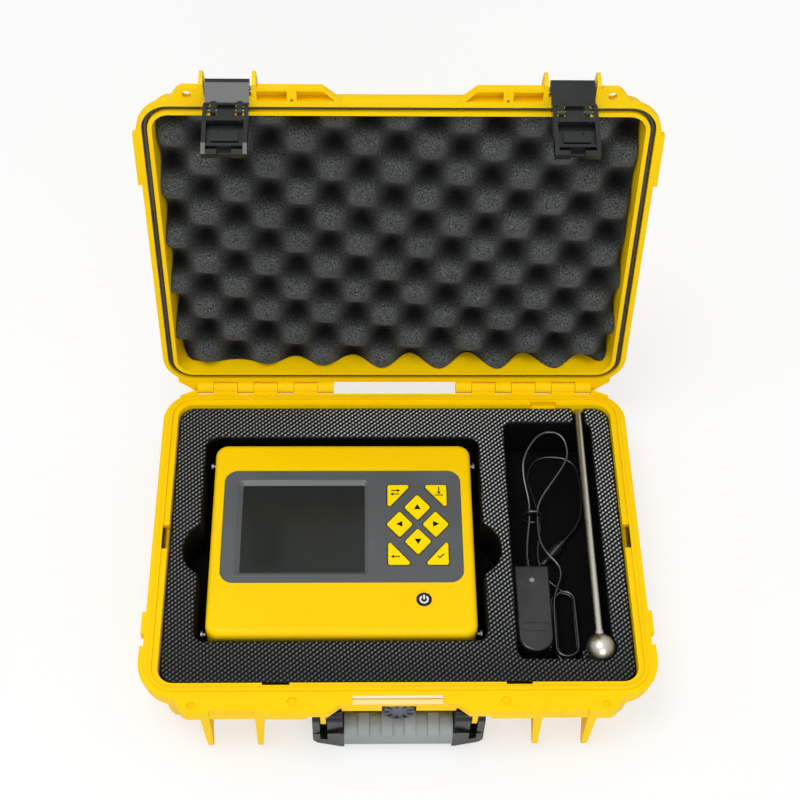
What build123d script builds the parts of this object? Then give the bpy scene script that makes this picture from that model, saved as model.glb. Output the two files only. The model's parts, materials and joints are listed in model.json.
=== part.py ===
from build123d import *
import math
import os

# Impact-echo thickness tester in its fitted carrying case.
# Millimetres, +Z up, +Y to the hinge, origin under the middle of the case base.
# Every piece is drawn with z = 0 in the rim plane and raised to the floor at the end.
# Lid pieces are drawn on the closed case and swung open about the hinge.

# Case: driving dimensions
CASE_DEPTH = 68.0           # floor to rim plane
LID_HEIGHT = 31.0
INNER_X, INNER_Y = 365.0, 259.0
INNER_CORNER = 13.0
WALL = 4.0
DRAFT, LID_DRAFT = 7.0, 5.0  # degrees
FLOOR = 4.0
FLANGE_X = 388.8            # rim flange, outside
FLANGE_REAR, FLANGE_FRONT = 141.0, -141.2
FRONT_LEDGE = -153.6        # ledge that carries latches and handle
LID_LEDGE = -152.8          # the lid's own ledge above it
BASE_BAY = (-55.5, -155.6), (-44.5, -147.0)     # left side of the handle bay, outer and inner corner
LID_BAY = (-58.0, -154.8), (-42.0, -141.0)
FLANGE_CORNER = 27.0
FLANGE_THICK = 4.0
SKIRT_DEPTH = 11.5
SKIRT_THICK = 3.0
LID_RIM, LID_RIM_STEP = 9.4, 5.2     # full thickness of the lid's rim and of its outermost edge
POCKET_DEPTH = 8.2          # of the pockets in the lid's ledge
SIDE_BUMP = 197.3           # half width over the bumps at the sides
CLOSE_GAP = 0.3             # between the rims of the closed case
LID_OPEN = 99.0             # degrees, as it rests

# Hinge
HINGE_Y, HINGE_Z = 147.5, 0.0
KNUCKLE_R = 5.0
PIN_R = 1.5
RUNNING = 0.05              # radial clearance of a turning pin
HINGE_START = 52.0
LID_KNUCKLE, BASE_KNUCKLE, KNUCKLE_GAP = 13.4, 20.0, 0.3

# Latches
LATCH_X = 125.0
FIN_X = 19.1                # half distance between the two fins of a latch
FIN_THICK = 4.2
FIN_FRONT, FIN_TIP = -152.0, -62.7
LATCH_Y, LATCH_Z = -149.7, 5.0
LATCH_PIN_R = 1.6
LATCH_REST = 38.0           # degrees the open latch leans into the lid
LATCH_LENGTH = 61.0
CATCH_LOW = -14.2           # lower edge of the lip that the hook pulls on
STRAP_WIDTH, STRAP_THICK = 32.0, 3.5
STRAP_FACE = -153.5         # inner face of the closed strap
LEVER_Y, LEVER_Z = -159.0, -15.0
LEVER_WIDTH = 32.6
LEVER_REST = 20.0           # degrees the open lever stands off the strap

# Handle
HANDLE_Y, HANDLE_Z = -146.0, -20.0
HANDLE_DROP = 31.0          # pivot to the middle of the grip
HANDLE_LEAN = 6.2           # degrees towards the wall when folded
HANDLE_HALF = 65.6
GRIP_HALF = 41.5
GRIP_DEEP, GRIP_TALL, GRIP_ROUND = 20.0, 31.0, 8.0
GRIP_RIB_STEP, GRIP_RIB_WIDTH, GRIP_RIB_PROUD = 17.4, 7.8, 1.0
BRACKET_X, BRACKET_THICK = 57.0, 4.0
HANDLE_PIN_R = 2.0

# Purge valve
VALVE_Z, VALVE_R, VALVE_FACE = -21.8, 12.4, -143.1
VALVE_NOTCH = 12.9          # half width of the notch that the knob shows through

# Foam
FOAM_TOP = -3.0
FOAM_STEP = -48.0           # the cut-out layer ends here, on the pad
FOAM_GAP = 0.4
LID_FOAM_START = 3.0        # the lid foam stays this far above the rim plane
BAY_X0, BAY_X1, BAY_Y0, BAY_Y1 = 92.0, 164.0, -107.5, 113.0

# Measuring unit
UNIT_X, UNIT_Y = -43.5, -0.8
UNIT_W, UNIT_D = 210.0, 177.0
UNIT_TOP = 1.5
UNIT_CORNER = 10.0
UNIT_WALL = 2.6
UNIT_SPLIT = -24.0
UNIT_CEILING = -2.5         # underside of the top wall
PANEL_X, PANEL_Y, PANEL_W, PANEL_D, PANEL_R = -43.6, 8.4, 192.2, 105.5, 11.0
PANEL_TOP, PANEL_THICK = 0.9, 1.6
SCREEN_X0, SCREEN_X1, SCREEN_Y0, SCREEN_Y1 = -124.4, -25.6, -33.9, 47.6
BEZEL_X0, BEZEL_X1, BEZEL_Y0, BEZEL_Y1 = -128.8, -22.8, -36.6, 52.4
KEYPAD_X, KEYPAD_Y = 16.8, 9.2
KEY_STEP_X, KEY_STEP_Y = 14.5, 16.1
KEY_HALF_X, KEY_HALF_Y = 10.6, 12.2
KEY_PROUD, KEY_TRAVEL = 1.3, 0.8
KEY_SLIT = 0.3              # all round a key
CORNER_KEY_X, CORNER_KEY_Y = 24.0, 27.5
CORNER_KEY_SIDE_X, CORNER_KEY_SIDE_Y = 19.0, 22.6
POWER_X, POWER_Y, POWER_R, POWER_RING_R = 20.4, -59.6, 5.2, 7.2
STUD_Y = (72.0, -84.0)
SCREW_R = 1.4
BOARD_TOP = -13.0
WINDOW_LOW, MODULE_LOW = -2.3, -7.3
MAT_LOW, MAT_TOP = -6.0, -3.6
KEY_FOOT = 1.6              # height of the wider foot that holds a key in

# Impactor
ROD_X, ROD_Z, ROD_R = 155.6, -6.0, 2.9
ROD_REAR, ROD_FRONT = 125.5, -88.0
BALL_Y, BALL_R = -97.9, 11.0
BALL_ROOM = 0.8            # gap between the ball and the foam round it
NECK_R = 3.7

# Charger and its lead
CHARGER_X, CHARGER_REAR, CHARGER_FRONT = 107.6, -18.0, -95.0
CHARGER_W, CHARGER_T = 28.4, 31.5
LEAD_R = 1.25
PLUG_R = 4.4
PLUG_Z = FOAM_STEP + PLUG_R
TIE_RING, TIE_R = 8.6, 1.25


def at(x=0.0, y=0.0, z=0.0):
    return Pos(x, y, z)


def outline(*points):
    """A flat face that looks up, whichever way round its corners are given."""
    pairs = zip(points, points[1:] + points[:1])
    turn = sum(ax * by - bx * ay for (ax, ay), (bx, by) in pairs)
    return Polygon(*(points if turn > 0 else points[::-1]), align=None)


def side_prism(points, width, x=0.0):
    """An outline in (y, z), as deep as width along X, centred on x."""
    return at(x) * extrude(Plane.YZ * outline(*points), amount=width / 2, both=True)


def front_prism(points, y0, y1):
    """An outline in (x, z), from y0 to y1."""
    return at(y=y1) * extrude(Plane.XZ * outline(*points), amount=y1 - y0)


def rod_x(radius, x0, x1, y, z):
    return at(x0, y, z) * extrude(Plane.YZ * Circle(radius), amount=x1 - x0)


def rod_y(radius, y0, y1, x, z):
    return at(x, y1, z) * extrude(Plane.XZ * Circle(radius), amount=y1 - y0)


def block(x0, x1, y0, y1, z0, z1):
    size = Box(x1 - x0, y1 - y0, z1 - z0)
    return at((x0 + x1) / 2, (y0 + y1) / 2, (z0 + z1) / 2) * size


def plate(width, depth, corner, z0, z1, x=0.0, y=0.0):
    return at(x, y, z0) * extrude(RectangleRounded(width, depth, corner), amount=z1 - z0)


def tapered_well(width, depth, corner, z_top, z_low, draft=DRAFT, y=0.0):
    """A rounded block that narrows from z_top down to z_low."""
    down = extrude(RectangleRounded(width, depth, corner), amount=z_top - z_low, taper=draft)
    return at(y=y, z=z_top) * (Rot(180, 0, 0) * down)


def both_sides(piece):
    return piece + mirror(piece, about=Plane.YZ)


def swing(y, z, degrees):
    """Turn about an axis along X through (y, z)."""
    return at(y=y, z=z) * Rot(degrees, 0, 0) * at(y=-y, z=-z)


# Case base
def flange_outline(front, bay_side, notch_y, notch_width, inset=0.0):
    """Plan of a rim with its front ledge, handle bay and latch notches, or a smaller copy."""
    middle, depth = (FLANGE_REAR + FLANGE_FRONT) / 2, FLANGE_REAR - FLANGE_FRONT
    rim = at(y=middle) * RectangleRounded(FLANGE_X - 2 * inset, depth - 2 * inset, FLANGE_CORNER - inset)
    ledge = outline((-178, -128), (-161, front), (161, front), (178, -128))
    bay = outline(*bay_side, *[(-x, y) for x, y in bay_side[::-1]])
    ledge = fillet(ledge.vertices(), 7.0)
    if inset:
        ledge = offset(ledge, -inset, kind=Kind.INTERSECTION)
        bay = offset(bay, inset, kind=Kind.INTERSECTION)
    notch = Rectangle(notch_width + 2 * inset, 20)
    plan = rim + ledge - bay
    for side in (-1, 1):
        plan -= at(side * LATCH_X, notch_y + inset - 10) * notch
    return plan


def base_rim():
    """The base's flange with its skirt, drawn upside down on z = 0 and hollow inside."""
    shape = FRONT_LEDGE, BASE_BAY, FIN_FRONT, 2 * FIN_X - FIN_THICK
    rim = extrude(flange_outline(*shape), amount=SKIRT_DEPTH)
    rim -= at(z=FLANGE_THICK) * extrude(flange_outline(*shape, SKIRT_THICK), amount=SKIRT_DEPTH)
    # The flange is wider round the front corners, and has a nub on each side
    wide = at(y=(FLANGE_REAR + FLANGE_FRONT) / 2) * RectangleRounded(
        2 * SIDE_BUMP, FLANGE_REAR - FLANGE_FRONT, FLANGE_CORNER + SIDE_BUMP - FLANGE_X / 2)
    wide &= at(y=-150) * Rectangle(500, 104)
    rim += extrude(wide, amount=FLANGE_THICK) - block(-188, 188, -131, -90, -1, FLANGE_THICK + 1)
    for side in (-1, 1):
        x0, x1 = sorted((side * (FLANGE_X / 2 - 2), side * SIDE_BUMP))
        rim += block(x0, x1, -87.5, -68.5, 0, 8)
        rim -= block(x0 + 1.6, x1 - 1.6, -84, -72, 4, 9)
    return rim


def lid_rim():
    """The lid's rim, a step narrower at the back."""
    shape = LID_LEDGE, LID_BAY, -146.2, 2 * FIN_X
    rim = extrude(flange_outline(*shape), amount=LID_RIM_STEP)
    rim += extrude(flange_outline(*shape, 2.2), amount=LID_RIM)
    for side in (-1, 1):
        x0, x1 = sorted((side * (FLANGE_X / 2 - 2), side * SIDE_BUMP))
        rim += block(x0, x1, -113, -66, 0, LID_RIM_STEP)
        # Lightening pockets in the ledge, with a screw boss between them
        for slant, near, far in ((8.3, 55.8, 75.1), (0.0, 82.3, 105.0)):
            for front, depth in ((-150.4, LID_RIM_STEP), (-148.6, POCKET_DEPTH)):
                start = near + slant * (-150.4 - front) / 8.4
                pocket = outline((side * far, front), (side * start, front), (side * (near - slant), -142),
                                 (side * far, -142))
                rim -= at(z=-1) * extrude(pocket, amount=depth + 1)
        rim -= at(side * 78.7, -142.6, -1) * extrude(Circle(1.2), amount=6)
        mark = outline((side * 157.0, -140.4), (side * 161.4, -140.4), (side * 159.2, -143.6))
        rim -= extrude(mark, amount=2.2)
        rim -= block(*sorted((side * 146.3, side * 172)), -160, -141.4, 6, LID_RIM + 1)
    return rim


def base_fin(x, outward):
    """A latch guard fin: wide at the ledge, narrow at its tip, which is also a foot."""
    front = [(x - FIN_THICK / 2 - (3.5 if outward < 0 else 0.0), -0.5),
             (x + FIN_THICK / 2 + (3.5 if outward > 0 else 0.0), -0.5),
             (x + FIN_THICK / 2, FIN_TIP), (x - FIN_THICK / 2, FIN_TIP)]
    side = [(-122, -0.6), (FIN_FRONT, -0.6), (FIN_FRONT, FIN_TIP + 5), (FIN_FRONT + 1.2, FIN_TIP),
            (FIN_FRONT + 4.6, FIN_TIP), (-136, -46), (-122, -38)]
    return front_prism(front, -160, -121) & side_prism(side, 60, x)


def hinge_spans(first):
    """Start and end of every knuckle of one hinge set, lid and base in turn."""
    x, spans = HINGE_START, {"lid": [], "base": []}
    for i in range(7):
        owner = "lid" if i % 2 == 0 else "base"
        length = LID_KNUCKLE if owner == "lid" else BASE_KNUCKLE
        spans[owner].append((x, x + length))
        x += length + KNUCKLE_GAP
    return spans[first]


def knuckle(x0, x1, below):
    """One hinge knuckle with the web that joins it to its rim."""
    turn = -1 if below else 1
    web = [(134, turn * 9), (139, turn * CLOSE_GAP), (HINGE_Y, turn * 0), (HINGE_Y + 3.5, turn * 3.6),
           (HINGE_Y + 1, turn * 4.9), (140, turn * 9)]
    body = side_prism(web, x1 - x0, (x0 + x1) / 2)
    body += rod_x(KNUCKLE_R, x0, x1, HINGE_Y, HINGE_Z)
    return body - rod_x(PIN_R + RUNNING, x0 - 1, x1 + 1, HINGE_Y, HINGE_Z)


def case_base_shell():
    top = -CLOSE_GAP
    rim = at(z=top) * mirror(base_rim(), about=Plane.XY)
    rim -= both_sides(block(43, 69, -170, -134, -60, -8))
    tub = tapered_well(INNER_X + 2 * WALL, INNER_Y + 2 * WALL, INNER_CORNER + WALL, top, -CASE_DEPTH)
    tub = fillet(tub.faces().sort_by(Axis.Z)[0].edges(), 8.0)
    shell = rim + tub
    # Guard fins and the catch bar of each latch
    for side in (-1, 1):
        for edge in (-1, 1):
            shell += base_fin(side * LATCH_X + edge * FIN_X, edge)
        left, right = side * LATCH_X - FIN_X, side * LATCH_X + FIN_X
        shell += block(left, right, FIN_FRONT, FIN_FRONT + 3, CATCH_LOW, -5)
        middle = side * LATCH_X
        shell += block(middle - 3.7, middle + 3.7, FIN_FRONT - 0.8, FIN_FRONT + 1, -9.5, -1.2)
    # Handle brackets
    bracket = [(-128, top - 1), (FRONT_LEDGE, top - 1), (-154, -13), (-152, -23.5), (-147, -26.5), (-124, -40)]
    for side in (-1, 1):
        shell += side_prism(bracket, BRACKET_THICK, side * BRACKET_X)
    # Ribs under the flange at both ends and along the rear
    for x in (-100, 0, 100):
        shell += block(x - 1.5, x + 1.5, 131, 139, -11, top - 1)
    # Sealing lip round the opening
    lip = plate(INNER_X + 13.4, INNER_Y + 13.4, INNER_CORNER + 6.7, top - 1, 1.4)
    lip -= plate(INNER_X + 8.6, INNER_Y + 8.6, INNER_CORNER + 4.3, top - 2, 3)
    shell += lip
    shell += rod_y(9.0, -133.3, -127, 0, VALVE_Z)
    # Gussets that lead the corners out to the hinges
    gusset = outline((-167.7, 134), (-167.7, 144.5), (-170.5, 144.5), (-182, 139.6), (-182, 134))
    shell += both_sides(at(z=-6) * extrude(gusset, amount=6 + top))
    for x0, x1 in hinge_spans("base"):
        shell += both_sides(knuckle(x0, x1, True) - block(x0 - 1, x1 + 1, 100, 140.5, top, 9))
    shell -= tapered_well(INNER_X, INNER_Y, INNER_CORNER, 3, -CASE_DEPTH + FLOOR)
    for side in (-1, 1):
        shell -= rod_x(HANDLE_PIN_R + RUNNING, side * BRACKET_X - 4, side * BRACKET_X + 4, HANDLE_Y, HANDLE_Z)
    shell -= rod_y(4.0, -140, -120, 0, VALVE_Z)
    shell -= block(-VALVE_NOTCH, VALVE_NOTCH, -149, -143.4, -SKIRT_DEPTH - 1, -FLANGE_THICK)
    # Small notches in the inner edge of the rim
    shell -= both_sides(block(182, 187, -11.8, 10.0, -3.3, 2) + block(182, 185.2, -11.8, 10.0, -8, 2))
    shell -= block(-102.9, -82.2, -130.9, -128, -6, 2) + block(81.1, 100.8, -130.9, -128, -6, 2)
    shell -= block(114.7, 136.8, 128, 132.6, -6, 2)
    # Long tray for a name strip, and round dimples, in the top of the ledge
    shell -= block(-35, 34, -145.6, -139.8, -1.2, 1)
    for x, y, radius in ((-155, -147.5, 3.0), (-80, -144.6, 3.7), (80, -144.6, 3.7), (155, -147.5, 3.0)):
        shell -= at(x, y, -2.0) * extrude(Circle(radius), amount=4)
    return shell


def foam_layer(z_top, z_low):
    shrink = 2 * math.tan(math.radians(DRAFT)) * (3 - z_top)
    width, depth = INNER_X - shrink - 2 * FOAM_GAP, INNER_Y - shrink - 2 * FOAM_GAP
    return tapered_well(width, depth, INNER_CORNER - FOAM_GAP, z_top, z_low)


def unit_pocket(z_low):
    pocket = plate(UNIT_W + 15, UNIT_D + 12, 8, z_low, 5, UNIT_X - 0.5, UNIT_Y + 3.5)
    for x in (-143.7, 57.0):
        pocket += at(x, -10, z_low) * extrude(Circle(26), amount=5 - z_low)
    return pocket


def base_foam_insert():
    layer = foam_layer(FOAM_TOP, FOAM_STEP)
    layer -= unit_pocket(FOAM_STEP - 1)
    bay = plate(BAY_X1 - BAY_X0, BAY_Y1 - BAY_Y0, 7, FOAM_STEP - 1, 5,
                (BAY_X0 + BAY_X1) / 2, (BAY_Y0 + BAY_Y1) / 2)
    shelf = block(BAY_X0 + 50, BAY_X1 - 0.01, BAY_Y0 + 0.01, BAY_Y0 + 15, FOAM_STEP, ROD_Z - BALL_R - 0.01)
    layer -= bay - shelf
    layer -= block(ROD_X - 4.5, ROD_X + 4.5, BAY_Y1 - 1, 130, ROD_Z - ROD_R, 5)
    seat = at(ROD_X, BALL_Y, ROD_Z + 0.8) * Sphere(BALL_R + BALL_ROOM)
    seat += at(ROD_X, BALL_Y, ROD_Z + 0.8) * extrude(Circle(BALL_R + BALL_ROOM), amount=20)
    return layer - seat


def base_foam_pad():
    return foam_layer(FOAM_STEP, -CASE_DEPTH + FLOOR)


def hinge_pin(side):
    spans = hinge_spans("lid")
    pin = rod_x(PIN_R, spans[0][0], spans[-1][1], HINGE_Y, HINGE_Z)
    return pin if side > 0 else mirror(pin, about=Plane.YZ)


def purge_valve_stem():
    stem = rod_y(3.9, VALVE_FACE + 3, -126.7, 0, VALVE_Z)
    return chamfer(stem.faces().sort_by(Axis.Y)[0].edges(), 0.8)


def purge_valve_knob():
    knob = rod_y(VALVE_R, VALVE_FACE, -133.7, 0, VALVE_Z)
    knob -= rod_y(3.9 + RUNNING, VALVE_FACE + 2.6, -130, 0, VALVE_Z)
    for i in range(12):
        angle = math.radians(30 * i + 15)
        x, z = (VALVE_R + 1.4) * math.cos(angle), VALVE_Z + (VALVE_R + 1.4) * math.sin(angle)
        knob -= rod_y(2.6, VALVE_FACE - 1, VALVE_FACE + 5, x, z)
    return knob


# Lid, drawn closed
def lid_ear(x):
    side = [(-131, 0.0), (-156, 0.0), (-159.6, 4.0), (-160.6, 9.0), (-159.6, 12.5), (-157, 13.5),
            (-146, 18), (-131, 24)]
    plan = outline((x - 1.9, -128), (x - 1.9, -151), (x - 1.2, -162), (x + 1.2, -162), (x + 1.9, -151),
                   (x + 1.9, -128))
    return side_prism(side, 10, x) & extrude(plan, amount=30)


def case_lid_shell():
    dome = extrude(RectangleRounded(INNER_X + 2 * WALL, INNER_Y + 2 * WALL, INNER_CORNER + WALL),
                   amount=LID_HEIGHT, taper=LID_DRAFT)
    dome = fillet(dome.faces().sort_by(Axis.Z)[-1].edges(), 8.0)
    shell = lid_rim() + dome
    for side in (-1, 1):
        for edge in (-1, 1):
            shell += lid_ear(side * LATCH_X + edge * FIN_X)
        tab = outline((side * 144, -140), (side * 166, -140), (side * 159.5, LID_LEDGE), (side * 144, LID_LEDGE))
        shell += extrude(tab, amount=6)
        gusset = outline((side * 167.4, 134), (side * 167.4, 152), (side * 170.5, 151.5), (side * 183.5, 141),
                         (side * 183.5, 134))
        shell += at(z=0.3) * extrude(gusset, amount=7)
        shell -= at(side * 154.6, -147.0, -1) * extrude(Circle(3.3), amount=30)
    for x0, x1 in hinge_spans("lid"):
        shell += both_sides(knuckle(x0, x1, False) - block(x0 - 1, x1 + 1, 100, 140.5, -9, 0))
    shell -= extrude(RectangleRounded(INNER_X, INNER_Y, INNER_CORNER), amount=LID_HEIGHT - WALL, taper=LID_DRAFT)
    groove = plate(INNER_X + 15.4, INNER_Y + 15.4, INNER_CORNER + 7.7, -1, 6.4)
    groove -= plate(INNER_X + 6.6, INNER_Y + 6.6, INNER_CORNER + 3.3, -2, 7)
    shell -= groove
    for side in (-1, 1):
        for edge in (-1, 1):
            x = side * LATCH_X + edge * FIN_X
            shell -= rod_x(LATCH_PIN_R, x - 4, x + 4, LATCH_Y, LATCH_Z)
    return shell


def lid_seal():
    middle = RectangleRounded(INNER_X + 11, INNER_Y + 11, INNER_CORNER + 5.5)
    path = middle.face().outer_wire()
    start = path.position_at(0)
    section = Plane(origin=start, z_dir=path.tangent_at(0)) * Circle(2.1)
    return at(z=4.1) * sweep(section, path=path)


def lid_foam():
    width, depth = INNER_X - 2 * FOAM_GAP, INNER_Y - 2 * FOAM_GAP
    height = LID_HEIGHT - WALL - LID_FOAM_START - 0.2
    body = extrude(RectangleRounded(width - 0.6, depth - 0.6, INNER_CORNER), amount=height, taper=LID_DRAFT)
    body = at(z=LID_FOAM_START) * body
    # a hollow keeps the foam off the top of the ball when the lid is closed
    return body - at(ROD_X, BALL_Y, ROD_Z) * Sphere(BALL_R + BALL_ROOM)


def latch_pin(side):
    x = side * LATCH_X
    reach = FIN_X + FIN_THICK / 2 - 0.2
    return rod_x(LATCH_PIN_R, x - reach, x + reach, LATCH_Y, LATCH_Z)


def latch_strap(side):
    """The strap as it stands on the closed case."""
    x = side * LATCH_X
    face, outer = STRAP_FACE, STRAP_FACE - STRAP_THICK
    hook = [(LATCH_Y + 3.0, LATCH_Z), (LATCH_Y + 1.4, LATCH_Z + 4.6), (LATCH_Y - 1.5, LATCH_Z + 6.5),
            (outer + 1.4, LATCH_Z + 5.2), (outer, LATCH_Z + 2), (outer, -8.2), (face, -8.2), (face, 1.0),
            (LATCH_Y, LATCH_Z - 3.2)]
    strap = side_prism(hook, STRAP_WIDTH, x) + rod_x(3.2, x - STRAP_WIDTH / 2, x + STRAP_WIDTH / 2,
                                                     LATCH_Y, LATCH_Z)
    lug = [(outer, -7), (face, -7), (face, -17), (LEVER_Y + 1.5, -19), (LEVER_Y - 2, -18),
           (LEVER_Y - 3.4, LEVER_Z), (LEVER_Y - 1, LEVER_Z + 4)]
    for edge in (-1, 1):
        strap += side_prism(lug, 4.0, x + edge * 9.4)
    strap -= rod_x(LATCH_PIN_R + RUNNING, x - 20, x + 20, LATCH_Y, LATCH_Z)
    strap -= rod_x(LATCH_PIN_R, x - 13, x + 13, LEVER_Y, LEVER_Z)
    return strap


def lever_pin(side):
    x = side * LATCH_X
    return rod_x(LATCH_PIN_R, x - LEVER_WIDTH / 2 + 0.4, x + LEVER_WIDTH / 2 - 0.4, LEVER_Y, LEVER_Z)


def latch_lever(side):
    """The lever as it stands locked: two cheeks, cross bars, a hook and a finger tab."""
    x = side * LATCH_X
    end = LATCH_Z - LATCH_LENGTH
    cheek = [(-157.4, -13), (-159, -10.4), (-162.5, -10.6), (-165.6, -15), (-166, -48),
             (-163.5, end), (-158.5, end), (-157.6, -48)]
    lever = side_prism(cheek, 3.0, x - LEVER_WIDTH / 2 + 1.5)
    lever += side_prism(cheek, 3.0, x + LEVER_WIDTH / 2 - 1.5)
    span = LEVER_WIDTH - 1
    top_bar = side_prism([(-161.2, -11.2), (-164.2, -11.4), (-165.2, -14.0), (-163.4, -14.2)], span, x)
    for edge in (-1, 1):
        top_bar -= block(x + edge * 9.4 - 2.3, x + edge * 9.4 + 2.3, -170, -150, -20, -5)
    lever += top_bar
    lever += side_prism([(-162.4, -25.2), (-165.9, -24.6), (-165.9, -28.6), (-162.8, -29)], span, x)
    lever += side_prism([(-158, -24), (-160.4, -24), (-160.4, -54), (-158, -54)], span, x)
    # Raised saddle with a round seat, and the finger tabs at the end
    lever += side_prism([(-159, -33), (-163.2, -35), (-163.2, -44.5), (-159, -46)], 19.0, x)
    lever -= rod_y(5.2, -166, -161.4, x, -36.5)
    lever += side_prism([(-159, -46.5), (-164.6, -47.2), (-164.6, -49.6), (-159, -50)], span, x)
    for edge in (-1, 1):
        lever += side_prism([(-159, -51.2), (-164, -52), (-163.5, end), (-158.5, end)], 9.5, x + edge * 10.0)
    # Hook that pulls up under the ledge
    hook = [(LEVER_Y - 3.4, LEVER_Z + 3), (LEVER_Y - 3.2, LEVER_Z - 8), (LEVER_Y + 1, -25),
            (-150.4, -20.0), (-151.4, -16.8), (-153, -16.9), (LEVER_Y + 1.6, -17.6), (LEVER_Y + 3.1, LEVER_Z)]
    lever += side_prism(hook, 13.0, x) + rod_x(3.2, x - 6.5, x + 6.5, LEVER_Y, LEVER_Z)
    return lever - rod_x(LATCH_PIN_R + RUNNING, x - 20, x + 20, LEVER_Y, LEVER_Z)


# Handle, drawn hanging straight down from its pivots
def handle_section(deep, tall, round_r):
    return Plane.YZ * RectangleRounded(deep, tall, round_r)


def handle_frame():
    middle, half = HANDLE_Z - HANDLE_DROP, HANDLE_HALF
    plan = [(-half, 6.6), (-half, -6.6), (-half + 2.5, -7.6), (-44, -9.7), (44, -9.7), (half - 2.5, -7.6),
            (half, -6.6), (half, 6.6), (half - 2.5, 7.6), (44, 9.7), (-44, 9.7), (-half + 2.5, 7.6)]
    front = [(-half, 8), (-half, -8.5), (-half + 3.5, -11.5), (-44, -15), (44, -15), (half - 3.5, -11.5),
             (half, -8.5), (half, 8), (46, 15), (-46, 15)]
    core = at(y=HANDLE_Y, z=middle - 20) * extrude(outline(*plan), amount=40)
    core &= at(z=middle) * front_prism(front, HANDLE_Y - 12, HANDLE_Y + 12)
    core -= block(-GRIP_HALF, GRIP_HALF, -170, -120, middle - 30, middle + 30)
    core += at(-GRIP_HALF - 1, HANDLE_Y, middle) * extrude(
        handle_section(8, 20, 3.9), amount=2 * GRIP_HALF + 2)
    arm = [(HANDLE_Y - 6.5, HANDLE_Z), (HANDLE_Y - 7.3, middle), (HANDLE_Y + 7.3, middle),
           (HANDLE_Y + 6.5, HANDLE_Z)]
    for x0, x1 in ((-HANDLE_HALF + 0.2, -59.9), (-54.1, -GRIP_HALF - 1)):
        width, centre = x1 - x0, (x0 + x1) / 2
        finger = side_prism(arm, width, centre) + rod_x(6.5, x0, x1, HANDLE_Y, HANDLE_Z)
        core += both_sides(finger)
    core -= both_sides(block(-59.9, -54.1, -160, -130, -53.0, 0))
    return core - both_sides(rod_x(HANDLE_PIN_R, -64.5, -48, HANDLE_Y, HANDLE_Z))


def handle_grip():
    middle = HANDLE_Z - HANDLE_DROP
    grip = at(-GRIP_HALF, HANDLE_Y, middle) * extrude(
        handle_section(GRIP_DEEP, GRIP_TALL, GRIP_ROUND), amount=2 * GRIP_HALF)
    proud = 2 * GRIP_RIB_PROUD
    for i in range(4):
        start = (i - 1.5) * GRIP_RIB_STEP - GRIP_RIB_WIDTH / 2
        rib = at(start, HANDLE_Y, middle) * extrude(handle_section(
            GRIP_DEEP + proud, GRIP_TALL + proud, GRIP_ROUND + GRIP_RIB_PROUD), amount=GRIP_RIB_WIDTH)
        grip += rib & block(-60, 60, HANDLE_Y - 15, HANDLE_Y + 8, middle + GRIP_TALL / 2 - 6, middle + 20)
    grip -= at(-GRIP_HALF - 1, HANDLE_Y, middle) * extrude(
        handle_section(8, 20, 3.9), amount=2 * GRIP_HALF + 2)
    return grip


def handle_pins():
    return both_sides(rod_x(HANDLE_PIN_R, -64.5, -48, HANDLE_Y, HANDLE_Z))


# Measuring unit
def unit_block(z0, z1, shrink=0.0, corner=UNIT_CORNER):
    return plate(UNIT_W - 2 * shrink, UNIT_D - 2 * shrink, corner, z0, z1, UNIT_X, UNIT_Y)


def key_outlines():
    """Plan of every key cap, by name, about the middle of the keypad."""
    diamond = outline((-KEY_HALF_X, 0), (0, KEY_HALF_Y), (KEY_HALF_X, 0), (0, -KEY_HALF_Y))
    diamond = fillet(diamond.vertices(), 1.6)
    keys = {"key_up": at(0, KEY_STEP_Y) * diamond, "key_down": at(0, -KEY_STEP_Y) * diamond,
            "key_left": at(-KEY_STEP_X) * diamond, "key_right": at(KEY_STEP_X) * diamond}
    corners = {"key_switch": (-1, 1), "key_store": (1, 1), "key_back": (-1, -1), "key_confirm": (1, -1)}
    for name, (sx, sy) in corners.items():
        x, y = sx * CORNER_KEY_X, sy * CORNER_KEY_Y * 1.36
        wedge = outline((x, y), (x - sx * CORNER_KEY_SIDE_X, y), (x, y - sy * CORNER_KEY_SIDE_Y))
        keys[name] = fillet(wedge.vertices(), 1.6)
    return {name: at(KEYPAD_X, KEYPAD_Y) * plan for name, plan in keys.items()}


def tester_top_cover():
    cover = unit_block(UNIT_SPLIT, UNIT_TOP)
    cover = fillet(cover.faces().sort_by(Axis.Z)[-1].edges(), 5.0)
    cover -= unit_block(UNIT_SPLIT - 1, UNIT_CEILING, UNIT_WALL, UNIT_CORNER - UNIT_WALL)
    cover -= plate(PANEL_W, PANEL_D, PANEL_R, PANEL_TOP - PANEL_THICK, 5, PANEL_X, PANEL_Y)
    cover -= block(SCREEN_X0 - 1, SCREEN_X1 + 1, SCREEN_Y0 - 1, SCREEN_Y1 + 1, -12, 5)
    cover -= plate(2 * CORNER_KEY_X + 8, 84, 3, -12, 5, KEYPAD_X, KEYPAD_Y)
    cover -= at(POWER_X, POWER_Y, -12) * extrude(Circle(POWER_RING_R), amount=20)
    # Bosses for the cover screws and posts that the board hangs from
    for x, y in screw_places():
        cover += at(x, y, UNIT_SPLIT - 2) * extrude(Circle(4.0), amount=UNIT_CEILING + 0.2 - UNIT_SPLIT + 2)
        cover -= at(x, y, UNIT_SPLIT - 3) * extrude(Circle(SCREW_R), amount=12.0)
    for x, y in board_posts():
        cover += at(x, y, BOARD_TOP) * extrude(Circle(3.0), amount=UNIT_CEILING + 0.2 - BOARD_TOP)
    return cover


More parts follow.
